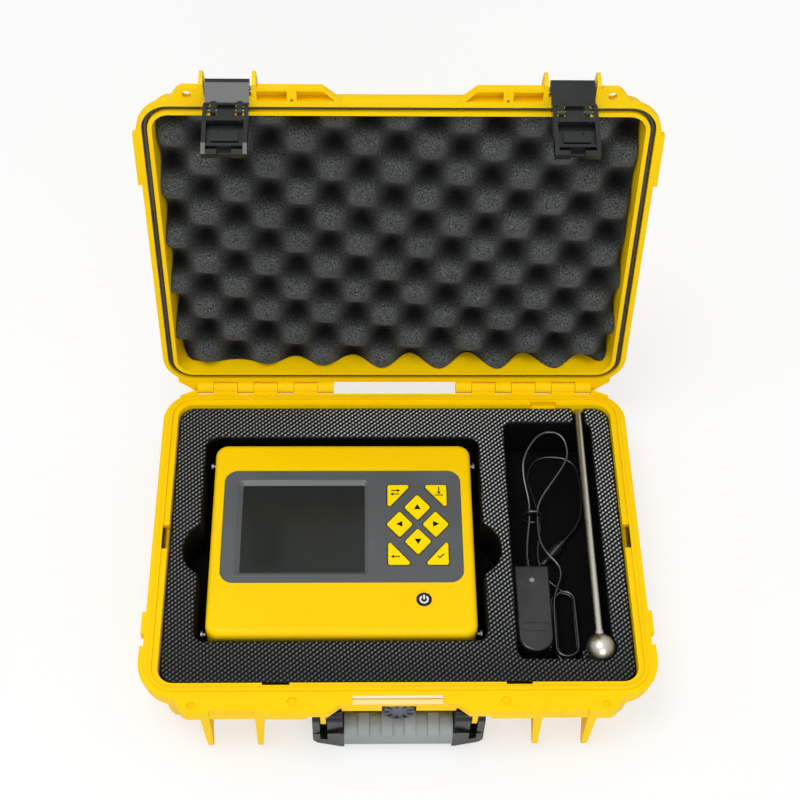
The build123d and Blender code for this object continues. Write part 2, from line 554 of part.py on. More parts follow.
def tester_bottom_cover():
    cover = unit_block(FOAM_STEP, UNIT_SPLIT)
    cover = fillet(cover.faces().sort_by(Axis.Z)[0].edges(), 5.0)
    cover -= unit_block(FOAM_STEP + UNIT_WALL, UNIT_SPLIT + 1, UNIT_WALL, UNIT_CORNER - UNIT_WALL)
    rear = UNIT_Y + UNIT_D / 2
    cover -= rod_y(5.0, rear - 6, rear + 4, UNIT_X - 60, -36)
    cover -= block(UNIT_X - 6.1, UNIT_X + 6.1, rear - 6, rear + 4, -38.6, -33.4)
    cover -= rod_y(3.6, rear - 6, rear + 4, UNIT_X + 60, -36)
    for x, y in screw_places():
        cover += at(x, y, FOAM_STEP + 1) * extrude(Circle(4.0), amount=UNIT_SPLIT - FOAM_STEP - 3)
        cover -= at(x, y, FOAM_STEP - 1) * extrude(Circle(3.0), amount=5.0)
        cover -= at(x, y, FOAM_STEP - 1) * extrude(Circle(1.5), amount=30.0)
    return cover


def board_posts():
    return [(UNIT_X + sx * 84, UNIT_Y + sy * 66) for sx in (-1, 1) for sy in (-1, 1)]


def screw_places():
    dx, dy = UNIT_W / 2 - 12, UNIT_D / 2 - 12
    return [(UNIT_X + sx * dx, UNIT_Y + sy * dy) for sx in (-1, 1) for sy in (-1, 1)]


def cover_screws():
    screws = Part()
    for x, y in screw_places():
        head = at(x, y, FOAM_STEP + 1.2) * extrude(Circle(2.7), amount=2.8)
        head -= at(x, y, FOAM_STEP + 1.0) * extrude(Rectangle(3.4, 0.8), amount=1.2)
        head -= at(x, y, FOAM_STEP + 1.0) * extrude(Rectangle(0.8, 3.4), amount=1.2)
        screws += head + at(x, y, FOAM_STEP + 3) * extrude(Circle(SCREW_R), amount=27)
    return screws


def front_panel():
    panel = plate(PANEL_W - 0.2, PANEL_D - 0.2, PANEL_R - 0.1, PANEL_TOP - PANEL_THICK, PANEL_TOP,
                  PANEL_X, PANEL_Y)
    low, high = PANEL_TOP - PANEL_THICK, PANEL_TOP + 0.01
    outer = at((BEZEL_X0 + BEZEL_X1) / 2, (BEZEL_Y0 + BEZEL_Y1) / 2, high) * RectangleRounded(
        BEZEL_X1 - BEZEL_X0, BEZEL_Y1 - BEZEL_Y0, 4)
    inner = at((SCREEN_X0 + SCREEN_X1) / 2, (SCREEN_Y0 + SCREEN_Y1) / 2, low - 0.01) * RectangleRounded(
        SCREEN_X1 - SCREEN_X0, SCREEN_Y1 - SCREEN_Y0, 1.5)
    panel -= loft([inner, outer])
    for plan in key_outlines().values():
        panel -= at(z=low - 1) * extrude(offset(plan, KEY_SLIT), amount=5)
    return panel


def screen_window():
    return block(SCREEN_X0 - 0.9, SCREEN_X1 + 0.9, SCREEN_Y0 - 0.9, SCREEN_Y1 + 0.9,
                 WINDOW_LOW, PANEL_TOP - PANEL_THICK)


def screen_module():
    return block(SCREEN_X0 - 0.9, SCREEN_X1 + 0.9, SCREEN_Y0 - 0.9, SCREEN_Y1 + 0.9, MODULE_LOW, WINDOW_LOW)


def key_mat():
    return plate(2 * CORNER_KEY_X + 6, 82, 2, MAT_LOW, MAT_TOP, KEYPAD_X, KEYPAD_Y)


def key_caps():
    """Caps on the panel, each with a foot that the panel holds in."""
    caps = {}
    low = PANEL_TOP - PANEL_THICK
    for name, plan in key_outlines().items():
        cap = at(z=low) * extrude(plan, amount=PANEL_THICK + KEY_PROUD)
        cap = chamfer(cap.faces().sort_by(Axis.Z)[-1].edges(), 0.35)
        caps[name] = cap + at(z=low - KEY_FOOT) * extrude(offset(plan, KEY_SLIT + 0.7), amount=KEY_FOOT)
    return caps


def power_ring():
    ring = at(POWER_X, POWER_Y, -4) * extrude(Circle(POWER_RING_R), amount=UNIT_TOP + 4.4)
    return ring - at(POWER_X, POWER_Y, -5) * extrude(Circle(POWER_R + KEY_SLIT), amount=12)


def power_button():
    button = at(POWER_X, POWER_Y, -4) * extrude(Circle(POWER_R), amount=UNIT_TOP + 4.6)
    button = chamfer(button.faces().sort_by(Axis.Z)[-1].edges(), 0.4)
    return button + at(POWER_X, POWER_Y, -5.5) * extrude(Circle(POWER_RING_R - 0.6), amount=1.5)


def main_board():
    """Circuit board with its larger components, and the stands of the screen and the key mat."""
    board = plate(176, 144, 3, BOARD_TOP - 1.6, BOARD_TOP, UNIT_X, UNIT_Y)
    for x in (SCREEN_X0 + 3, SCREEN_X1 - 3):
        for y in (SCREEN_Y0 + 3, SCREEN_Y1 - 3):
            board += at(x, y, BOARD_TOP) * extrude(Circle(2.5), amount=MODULE_LOW - BOARD_TOP)
    stand = plate(2 * CORNER_KEY_X + 6, 82, 2, BOARD_TOP, MAT_LOW, KEYPAD_X, KEYPAD_Y)
    board += stand - plate(2 * CORNER_KEY_X, 76, 2, BOARD_TOP - 1, MAT_LOW + 1, KEYPAD_X, KEYPAD_Y)
    for x, y, w, d, h in ((-50, 20, 22, 22, 2.4), (-10, 56, 16, 12, 2.0), (-20, -48, 30, 14, 5.0),
                          (-68, -48, 12, 12, 1.6)):
        board += block(UNIT_X + x - w / 2, UNIT_X + x + w / 2, UNIT_Y + y - d / 2, UNIT_Y + y + d / 2,
                       BOARD_TOP - 0.2, BOARD_TOP + h)
    return board


def battery_pack():
    body = plate(112, 62, 4, FOAM_STEP + UNIT_WALL, -27, UNIT_X, UNIT_Y - 30)
    return body


def signal_socket():
    """Round socket with its dust cap on."""
    rear = UNIT_Y + UNIT_D / 2
    body = rod_y(5.0, rear - 3, rear + 2.5, UNIT_X - 60, -36)
    body += rod_y(6.0, rear - 0.01, rear + 5.5, UNIT_X - 60, -36)
    return body + rod_y(6.5, rear - 8, rear - UNIT_WALL, UNIT_X - 60, -36)


def usb_socket():
    rear = UNIT_Y + UNIT_D / 2
    body = block(UNIT_X - 6, UNIT_X + 6, rear - 8, rear - 0.4, -38.5, -33.5)
    return body - block(UNIT_X - 5, UNIT_X + 5, rear - 6, rear + 1, -37.6, -34.4)


def charge_socket():
    rear = UNIT_Y + UNIT_D / 2
    body = rod_y(3.5, rear - 3, rear - 0.4, UNIT_X + 60, -36)
    body += rod_y(5.5, rear - 8, rear - UNIT_WALL, UNIT_X + 60, -36)
    body -= rod_y(2.7, rear - 6, rear + 4, UNIT_X + 60, -36)
    return body + rod_y(0.8, rear - 7, rear - 1.4, UNIT_X + 60, -36)


def strap_studs():
    studs = Part()
    for side in (-1, 1):
        edge = UNIT_X + side * UNIT_W / 2
        for y in STUD_Y:
            neck, head = sorted((edge, edge + side * 2.0)), sorted((edge + side * 2.0, edge + side * 3.6))
            studs += rod_x(1.8, neck[0], neck[1], y, -9)
            studs += rod_x(3.2, head[0], head[1], y, -9)
    return studs


# Impactor
def impactor_rod():
    rod = rod_y(ROD_R, BALL_Y + BALL_R - 1.2, ROD_REAR, ROD_X, ROD_Z)
    rod = chamfer(rod.faces().sort_by(Axis.Y)[-1].edges(), 0.6)
    rod += rod_y(NECK_R, BALL_Y + BALL_R - 0.9, BALL_Y + BALL_R + 2.8, ROD_X, ROD_Z)
    return rod - at(ROD_X, BALL_Y, ROD_Z) * Sphere(BALL_R)


def impactor_ball():
    return at(ROD_X, BALL_Y, ROD_Z) * Sphere(BALL_R)


# Charger
def charger_plan():
    middle = CHARGER_FRONT + CHARGER_W / 2
    body = at(CHARGER_X, (CHARGER_REAR + middle) / 2) * Rectangle(CHARGER_W, CHARGER_REAR - middle)
    return body + at(CHARGER_X, middle) * Circle(CHARGER_W / 2)


CHARGER_LOW = FOAM_STEP
CHARGER_TOP = FOAM_STEP + CHARGER_T
CHARGER_SPLIT = CHARGER_LOW + 17.0


def charger_cover():
    cover = at(z=CHARGER_SPLIT) * extrude(charger_plan(), amount=CHARGER_TOP - CHARGER_SPLIT)
    cover = fillet(cover.faces().sort_by(Axis.Z)[-1].edges(), 2.4)
    cover -= at(CHARGER_X, CHARGER_REAR - 14, CHARGER_TOP - 2) * extrude(Circle(2.0), amount=5)
    ring = at(CHARGER_X, CHARGER_FRONT + 21, CHARGER_TOP - 0.5) * extrude(SlotOverall(23, 8), amount=2)
    ring -= at(CHARGER_X, CHARGER_FRONT + 21, CHARGER_TOP - 0.6) * extrude(SlotOverall(21.4, 6.4), amount=3)
    return cover - ring


def charger_base():
    base = at(z=CHARGER_LOW) * extrude(charger_plan(), amount=CHARGER_SPLIT - CHARGER_LOW)
    base = fillet(base.faces().sort_by(Axis.Z)[0].edges(), 2.0)
    return base - rod_y(3.0, CHARGER_REAR - 6, CHARGER_REAR + 3, CHARGER_X, LEAD_Z)


LEAD_Z = CHARGER_LOW + 9.0


def charger_lamp():
    return at(CHARGER_X, CHARGER_REAR - 14, CHARGER_TOP - 2) * extrude(Circle(2.0), amount=2.2)


def charger_strain_relief():
    relief = at(CHARGER_X, CHARGER_REAR - 6, LEAD_Z) * (Rot(-90, 0, 0) * Cone(
        3.0, 1.9, 24, align=(Align.CENTER, Align.CENTER, Align.MIN)))
    return relief


HANK_X, HANK_Y0, HANK_Y1 = 135.0, -92.0, -24.0
HANK_W, HANK_Z0, HANK_Z1 = 22.0, FOAM_STEP, -38.0
HANK_ENTRY_Z = -43.2
HANK_BUNDLE = 6.0


# Lead: from the strain relief, through the tie, round the open loop and down to the hank
LEAD_ROUTE = [
    (107.6, 0.0, -39.0), (107.6, 12.0, -39.0), (113.2, 48.0, -34.0), (107.5, 71.9, -26.0),
    (107.9, 90.3, -19.5), (123.2, 112.5, -15.3), (142.3, 110.7, -15.6), (147.0, 90.9, -19.5),
    (139.6, 78.2, -23.5), (119.3, 52.9, -33.0), (118.0, 38.0, -36.0), (118.3, 16.0, -36.6),
    (124.5, 4.0, -36.9), (133.0, -5.0, -39.8), (135.0, -14.5, HANK_ENTRY_Z), (135.0, HANK_Y1, HANK_ENTRY_Z),
]


# Tail of the lead: from the hank along the floor of the compartment and back to the plug
TAIL_ROUTE = [
    (129.5, HANK_Y1, -46.3), (129.5, -17.0, -46.3), (119.5, -9.0, -46.6), (116.5, 12.0, -46.7),
    (122.5, 38.0, -46.7), (117.0, 66.0, -46.7), (112.0, 86.0, -46.7), (121.0, 106.0, -46.7),
    (143.0, 108.0, -46.7), (157.5, 98.0, -46.6), (158.5, 64.0, -45.5), (155.5, 42.0, -44.2),
    (147.0, 28.8, PLUG_Z), (138.3, 18.8, PLUG_Z),
]


def route_radii(points):
    radii = []
    for before, here, after in zip(points, points[1:], points[2:]):
        a = Vector(*here) - Vector(*before)
        b = Vector(*after) - Vector(*here)
        turn = math.radians(a.get_angle(b))
        radii.append(0.45 * min(a.length, b.length) / math.tan(turn / 2))
    return radii


def lead_tube(points):
    radii = route_radii(points)
    path = FilletPolyline(*points, radius=radii)
    section = Plane(origin=path.position_at(0), z_dir=path.tangent_at(0)) * Circle(LEAD_R)
    tube = sweep(section, path=path)
    ideal = math.pi * LEAD_R ** 2 * path.length
    print("lead radii", [round(r, 1) for r in radii])
    print("lead length", round(path.length, 1), "volume ratio", round(tube.volume / ideal, 4))
    return tube


def charger_lead_tube():
    return lead_tube(LEAD_ROUTE)


def charger_lead_tail():
    return lead_tube(TAIL_ROUTE)


def charger_lead_hank():
    """The wound turns: an oval ring as wide and high as the bundle."""
    middle, length = (HANK_Y0 + HANK_Y1) / 2, HANK_Y1 - HANK_Y0
    body = plate(HANK_W, length, 4, HANK_Z0, HANK_Z1, HANK_X, middle)
    return body - plate(HANK_W - 2 * HANK_BUNDLE, length - 2 * HANK_BUNDLE, 2, HANK_Z0 - 1, HANK_Z1 + 1,
                        HANK_X, middle)


def charger_plug():
    """Barrel, body and boot of the plug, lying on the foam."""
    run = Vector(*TAIL_ROUTE[-2]) - Vector(*TAIL_ROUTE[-1])
    along = Plane(origin=TAIL_ROUTE[-1], z_dir=run)
    body = along * (at(z=-19.5) * extrude(Circle(PLUG_R), amount=13.5))
    body += along * (at(z=-27) * extrude(Circle(2.7), amount=8))
    body += along * (at(z=-6.5) * extrude(Circle(3.0), amount=6.5))
    return body


def lead_tie():
    return at(114.2, 41.0, FOAM_STEP + TIE_RING + TIE_R) * (Rot(90, 0, 0) * Torus(TIE_RING, TIE_R))


def lid_open():
    return swing(HINGE_Y, HINGE_Z, -LID_OPEN)


def main():
    opened = lid_open()
    strap_turn = opened * swing(LATCH_Y, LATCH_Z, LATCH_REST)
    lever_turn = strap_turn * swing(LEVER_Y, LEVER_Z, -LEVER_REST)
    folded = swing(HANDLE_Y, HANDLE_Z, HANDLE_LEAN)
    parts = {
        "case_base_shell": case_base_shell(),
        "base_foam_insert": base_foam_insert(),
        "base_foam_pad": base_foam_pad(),
        "hinge_pin_left": hinge_pin(-1),
        "hinge_pin_right": hinge_pin(1),
        "purge_valve_stem": purge_valve_stem(),
        "purge_valve_knob": purge_valve_knob(),
        "case_lid_shell": opened * case_lid_shell(),
        "lid_seal": opened * lid_seal(),
        "lid_foam": opened * lid_foam(),
        "latch_pin_left": opened * latch_pin(-1),
        "latch_pin_right": opened * latch_pin(1),
        "latch_strap_left": strap_turn * latch_strap(-1),
        "latch_strap_right": strap_turn * latch_strap(1),
        "lever_pin_left": strap_turn * lever_pin(-1),
        "lever_pin_right": strap_turn * lever_pin(1),
        "latch_lever_left": lever_turn * latch_lever(-1),
        "latch_lever_right": lever_turn * latch_lever(1),
        "handle_frame": folded * handle_frame(),
        "handle_grip": folded * handle_grip(),
        "handle_pins": folded * handle_pins(),
        "tester_top_cover": tester_top_cover(),
        "tester_bottom_cover": tester_bottom_cover(),
        "cover_screws": cover_screws(),
        "front_panel": front_panel(),
        "screen_window": screen_window(),
        "screen_module": screen_module(),
        "key_mat": key_mat(),
        "power_button_ring": power_ring(),
        "power_button": power_button(),
        "main_board": main_board(),
        "battery_pack": battery_pack(),
        "signal_socket": signal_socket(),
        "usb_socket": usb_socket(),
        "charge_socket": charge_socket(),
        "strap_studs": strap_studs(),
        "impactor_rod": impactor_rod(),
        "impactor_ball": impactor_ball(),
        "charger_cover": charger_cover(),
        "charger_base": charger_base(),
        "charger_lamp": charger_lamp(),
        "charger_strain_relief": charger_strain_relief(),
        "charger_lead_tube": charger_lead_tube(),
        "charger_lead_hank": charger_lead_hank(),
        "charger_lead_tail": charger_lead_tail(),
        "charger_plug": charger_plug(),
        "lead_tie": lead_tie(),
    }
    parts.update(key_caps())
    os.makedirs("parts", exist_ok=True)
    for name, shape in parts.items():
        export_step(at(z=CASE_DEPTH) * shape, f"parts/{name}.step")


main()
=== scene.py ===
"""Looks of the echo tester in its open case, made round the CAD nodes of the frame."""
import json
import math

import bmesh
import bpy
from mathutils import Matrix, Vector, noise


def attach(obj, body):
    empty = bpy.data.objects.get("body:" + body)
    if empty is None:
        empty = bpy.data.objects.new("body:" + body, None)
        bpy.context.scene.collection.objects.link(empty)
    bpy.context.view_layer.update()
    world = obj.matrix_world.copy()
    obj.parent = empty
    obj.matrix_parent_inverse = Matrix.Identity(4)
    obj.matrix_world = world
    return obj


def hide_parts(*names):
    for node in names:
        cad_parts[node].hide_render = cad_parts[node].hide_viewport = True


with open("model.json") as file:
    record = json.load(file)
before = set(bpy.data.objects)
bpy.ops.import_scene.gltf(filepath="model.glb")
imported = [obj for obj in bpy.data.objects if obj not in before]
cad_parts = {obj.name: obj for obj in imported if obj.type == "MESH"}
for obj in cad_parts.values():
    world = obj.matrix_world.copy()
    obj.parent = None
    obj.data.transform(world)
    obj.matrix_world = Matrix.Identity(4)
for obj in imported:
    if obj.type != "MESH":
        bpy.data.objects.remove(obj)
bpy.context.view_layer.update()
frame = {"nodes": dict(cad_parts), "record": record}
nodes = frame["nodes"]

# Places and sizes, in millimetres from the middle of the case's rim plane
RIM_HEIGHT = 68.0
HINGE_Y = 147.5
LID_OPEN = 99.0                     # degrees from the closed lid
PANEL_TOP, RING_TOP, BUTTON_TOP, KEY_TOP = 0.9, 1.9, 2.1, 2.2
KEYPAD = (16.8, 9.2)                # middle of the eight keys
KEY_STEP = (14.5, 16.1)             # from there to the middle of an arrow key
KEY_HALF = (10.6, 12.2)             # half the diagonals of an arrow key
CORNER_KEY = (24.0, 37.4)           # from the middle to the outer corner of a corner key
CORNER_KEY_SIDE = (19.0, 22.6)
KEY_ROUND = 1.6
POWER = (20.4, -59.6)
HANDLE_PIVOT, HANDLE_LEAN, GRIP_DROP = (-146.0, -20.0), 6.2, 31.0
GRIP_HALF_DEEP, GRIP_HALF_TALL, GRIP_ROUND = 10.0, 15.5, 8.0
VALVE_HEIGHT, VALVE_FACE = -21.8, -143.1
LEAD_DIAMETER = 2.5
UPRIGHT = math.radians(90)


def place(x, y, z):
    """A point given in millimetres from the rim plane, in metres in the row's frame."""
    return Vector((x, y, z + RIM_HEIGHT)) / 1000


def lid_place(x, y, z):
    """A point given on the closed lid, where it is with the lid open."""
    turn = Matrix.Rotation(math.radians(-LID_OPEN), 3, "X")
    hinge = Vector((0, HINGE_Y, 0))
    return place(*(turn @ (Vector((x, y, z)) - hinge) + hinge))


# Shader helpers
def srgb(red, green, blue):
    """A colour as seen, 0 to 255, as the shader wants it."""
    def linear(value):
        value /= 255
        return value / 12.92 if value <= 0.04045 else ((value + 0.055) / 1.055) ** 2.4
    return (linear(red), linear(green), linear(blue), 1.0)


def add(tree, kind, inputs=None, **settings):
    """A node with its settings, and with values or links in its inputs."""
    item = tree.nodes.new(kind)
    for name, value in settings.items():
        setattr(item, name, value)
    for name, value in (inputs or {}).items():
        if isinstance(value, bpy.types.NodeSocket):
            tree.links.new(value, item.inputs[name])
        else:
            item.inputs[name].default_value = value
    return item


# A Mix node's sockets go by number: its factor, its two numbers and its two colours
MIX_FACTOR, MIX_NUMBERS, MIX_COLOURS = 0, (2, 3), (6, 7)
MIXED_NUMBER, MIXED_COLOUR = 0, 2


def mix_colour(tree, amount, first, second):
    inputs = {MIX_FACTOR: amount, MIX_COLOURS[0]: first, MIX_COLOURS[1]: second}
    return add(tree, "ShaderNodeMix", inputs, data_type="RGBA").outputs[MIXED_COLOUR]


def mix_number(tree, amount, first, second):
    inputs = {MIX_FACTOR: amount, MIX_NUMBERS[0]: first, MIX_NUMBERS[1]: second}
    return add(tree, "ShaderNodeMix", inputs, data_type="FLOAT").outputs[MIXED_NUMBER]


def math_node(tree, operation, first, second=0.0):
    return add(tree, "ShaderNodeMath", {0: first, 1: second}, operation=operation).outputs[0]


def map_range(tree, value, from_min=0.0, from_max=1.0, to_min=0.0, to_max=1.0):
    return add(tree, "ShaderNodeMapRange", {
        "Value": value, "From Min": from_min, "From Max": from_max,
        "To Min": to_min, "To Max": to_max}).outputs["Result"]


def object_coords(tree):
    return add(tree, "ShaderNodeTexCoord").outputs["Object"]


def new_group(name, numbers, outputs):
    group = bpy.data.node_groups.new(name, "ShaderNodeTree")
    for label, value in numbers.items():
        socket = group.interface.new_socket(label, in_out="INPUT", socket_type="NodeSocketFloat")
        socket.default_value = value
    for label in outputs:
        group.interface.new_socket(label, in_out="OUTPUT", socket_type="NodeSocketFloat")
    return group, group.nodes.new("NodeGroupInput"), group.nodes.new("NodeGroupOutput")


def moulded_skin_group():
    """The pebbled skin of a moulding, with slow patches of wear from handling."""
    group, given, out = new_group("moulded_skin", {"Grain Size": 0.0006, "Patch Size": 0.05},
                                  ("Grain", "Patches"))
    coords = object_coords(group)
    for size, label, detail, roughness in (("Grain Size", "Grain", 2.0, 0.5),
                                           ("Patch Size", "Patches", 5.0, 0.6)):
        scale = math_node(group, "DIVIDE", 1.0, given.outputs[size])
        field = add(group, "ShaderNodeTexNoise", {
            "Vector": coords, "Scale": scale, "Detail": detail, "Roughness": roughness})
        group.links.new(field.outputs["Fac"], out.inputs[label])
    return group


def foam_cells_group():
    """Open cells of cut foam: tiny pits in a rougher ground."""
    group, given, out = new_group("foam_cells", {"Cell Size": 0.0012}, ("Height", "Grain"))
    coords = object_coords(group)
    scale = math_node(group, "DIVIDE", 1.0, given.outputs["Cell Size"])
    cells = add(group, "ShaderNodeTexVoronoi", {"Vector": coords, "Scale": scale})
    ground = add(group, "ShaderNodeTexNoise", {"Vector": coords, "Scale": scale, "Detail": 3.0})
    height = math_node(group, "ADD", cells.outputs["Distance"], ground.outputs["Fac"])
    group.links.new(height, out.inputs["Height"])
    group.links.new(map_range(group, ground.outputs["Fac"], 0.36, 0.66), out.inputs["Grain"])
    return group


MOULDED_SKIN = moulded_skin_group()
FOAM_CELLS = foam_cells_group()


def skin_node(tree, patch, grain=0.0006):
    """The skin group, its patches and its grain given in metres."""
    return add(tree, "ShaderNodeGroup", {"Grain Size": grain, "Patch Size": patch},
               node_tree=MOULDED_SKIN)


def foam_node(tree, cell):
    """The foam group, its cells given in metres."""
    return add(tree, "ShaderNodeGroup", {"Cell Size": cell}, node_tree=FOAM_CELLS)


def new_material(name, constants):
    """A material with its node tree and its shader, the constants set on the shader's sockets."""
    material = bpy.data.materials.new(name)
    material.use_nodes = True
    tree = material.node_tree
    shader = tree.nodes["Principled BSDF"]
    for label, value in constants.items():
        shader.inputs[label].default_value = value
    return material, tree, shader


def add_bump(tree, shader, height, distance):
    bump = add(tree, "ShaderNodeBump", {"Height": height, "Strength": 1.0, "Distance": distance})
    tree.links.new(bump.outputs["Normal"], shader.inputs["Normal"])


def moulded(name, colour, worn, roughness, grain=0.0006, relief=0.00004, coat=0.0, patch=0.05,
            shine=0.5):
    """Moulded plastic or rubber: a grained skin whose colour and shine drift a little."""
    material, tree, shader = new_material(name, {
        "Coat Weight": coat, "Coat Roughness": 0.12, "Specular IOR Level": shine})
    skin = skin_node(tree, patch, grain)
    tone = map_range(tree, skin.outputs["Patches"], 0.35, 0.7)
    rough = map_range(tree, skin.outputs["Patches"], 0.3, 0.7, roughness - 0.06, roughness + 0.06)
    tree.links.new(mix_colour(tree, tone, colour, worn), shader.inputs["Base Color"])
    tree.links.new(rough, shader.inputs["Roughness"])
    add_bump(tree, shader, skin.outputs["Grain"], relief)
    return material


LINES_PER_METRE, LINE_STRETCH, LINE_SHADE = 2500.0, 0.03, 0.86


def metal(name, colour, roughness, scratch=0.0):
    """Bare metal with fine turning lines."""
    material, tree, shader = new_material(name, {"Metallic": 1.0})
    stretched = add(tree, "ShaderNodeMapping", {
        "Vector": object_coords(tree), "Scale": (1.0, LINE_STRETCH, 1.0)}).outputs["Vector"]
    lines = add(tree, "ShaderNodeTexNoise", {
        "Vector": stretched, "Scale": LINES_PER_METRE, "Detail": 2.0}).outputs["Fac"]
    shaded = tuple(part * LINE_SHADE for part in colour[:3]) + (1.0,)
    rough = map_range(tree, lines, to_min=roughness * 0.7, to_max=roughness * 1.3)
    tree.links.new(mix_colour(tree, lines, colour, shaded), shader.inputs["Base Color"])
    tree.links.new(rough, shader.inputs["Roughness"])
    if scratch:
        add_bump(tree, shader, lines, scratch)
    return material


# The base foam's pressed pattern: waves per metre along X and Y, and how strong each wave is
PRESSED_WAVES = (((211.0, -236.0), 1.0), ((383.0, 32.0), 0.36), ((172.0, 268.0), 0.3))
WAVES_AT_FOOT, WAVES_AT_CREST = -0.35, 1.45
# The pressed skin's painted sheen, a painted highlight on the bead crests, is weaker along the
# front and the left: from where to where it grows, and how weak it stays on the left
PAINTED_SHEEN_Y, PAINTED_SHEEN_X, LEAST_PAINTED_SHEEN = (-0.12, 0.03), (-0.18, -0.02), 0.35
SKIN_START, SKIN_WHOLE = 0.75, 0.95  # how much a face looks up where the skin starts and is whole
CUT_RELIEF = 0.35                   # of a bead's height


def pressed_beads(tree, coords):
    """Small slanting beads, from 0 at their foot to 1 on their crest."""
    waves = None
    for (along_x, along_y), strength in PRESSED_WAVES:
        turns = (2 * math.pi * along_x, 2 * math.pi * along_y, 0.0)
        phase = add(tree, "ShaderNodeVectorMath", {0: coords, 1: turns}, operation="DOT_PRODUCT")
        wave = math_node(tree, "COSINE", phase.outputs["Value"])
        wave = math_node(tree, "MULTIPLY", wave, strength)
        waves = wave if waves is None else math_node(tree, "ADD", waves, wave)
    return map_range(tree, waves, WAVES_AT_FOOT, WAVES_AT_CREST)


def embossed_foam():
    """Closed-cell foam: its skin is pressed with beads whose pale crests are a painted highlight,
    its cut faces are bare cells.
    """
    material, tree, shader = new_material("embossed_foam", {
        "Roughness": 0.5, "Specular IOR Level": 0.16})
    coords = object_coords(tree)
    beads = pressed_beads(tree, coords)
    normal = add(tree, "ShaderNodeNewGeometry").outputs["Normal"]
    upward = add(tree, "ShaderNodeSeparateXYZ", {"Vector": normal}).outputs["Z"]
    skin = map_range(tree, upward, SKIN_START, SKIN_WHOLE)
    cut_height = math_node(tree, "MULTIPLY", foam_node(tree, 0.0009).outputs["Height"], CUT_RELIEF)
    relief = mix_number(tree, skin, cut_height, beads)
    where = add(tree, "ShaderNodeSeparateXYZ", {"Vector": coords})
    polish = math_node(tree, "MULTIPLY", map_range(tree, where.outputs["Y"], *PAINTED_SHEEN_Y),
                       map_range(tree, where.outputs["X"], *PAINTED_SHEEN_X, to_min=LEAST_PAINTED_SHEEN))
    drift = math_node(tree, "ADD", skin_node(tree, 0.12).outputs["Patches"], 0.5)
    polish = math_node(tree, "MULTIPLY", polish, drift)
    # Painted highlight: the bead crests go from grey to near white with the painted sheen, their
    # feet stay near black
    crest = mix_colour(tree, polish, srgb(104, 108, 108), srgb(214, 220, 220))
    skin_colour = mix_colour(tree, math_node(tree, "POWER", beads, 2.0), srgb(1, 2, 2), crest)
    colour = mix_colour(tree, skin, srgb(7, 8, 8), skin_colour)
    tree.links.new(colour, shader.inputs["Base Color"])
    add_bump(tree, shader, relief, 0.0006)
    return material


def convoluted_foam():
    """Soft open-cell foam, with painted shade in its pits from the sheet's crest attribute."""
    material, tree, shader = new_material("convoluted_foam", {
        "Roughness": 0.95, "Specular IOR Level": 0.15, "Sheen Weight": 0.1})
    cells = foam_node(tree, 0.0010)
    patches = skin_node(tree, 0.07).outputs["Patches"]
    ground = mix_colour(tree, patches, srgb(84, 89, 88), srgb(118, 123, 122))
    grainy = mix_colour(tree, cells.outputs["Grain"], srgb(30, 34, 34), ground)
    crest = add(tree, "ShaderNodeAttribute", attribute_name="crest").outputs["Fac"]
    # Painted shade: the pits go near black as the crest attribute falls
    colour = mix_colour(tree, math_node(tree, "POWER", crest, 2.9), srgb(1, 1, 1), grainy)
    tree.links.new(colour, shader.inputs["Base Color"])
    add_bump(tree, shader, cells.outputs["Height"], 0.0007)
    return material


def window_glass():
    """Smoked glass, so that little shows through it."""
    material, tree, shader = new_material("window_glass", {
        "Base Color": srgb(48, 52, 48), "Transmission Weight": 0.3, "IOR": 1.3})
    patches = skin_node(tree, 0.03).outputs["Patches"]
    tree.links.new(map_range(tree, patches, to_min=0.08, to_max=0.2), shader.inputs["Roughness"])
    return material


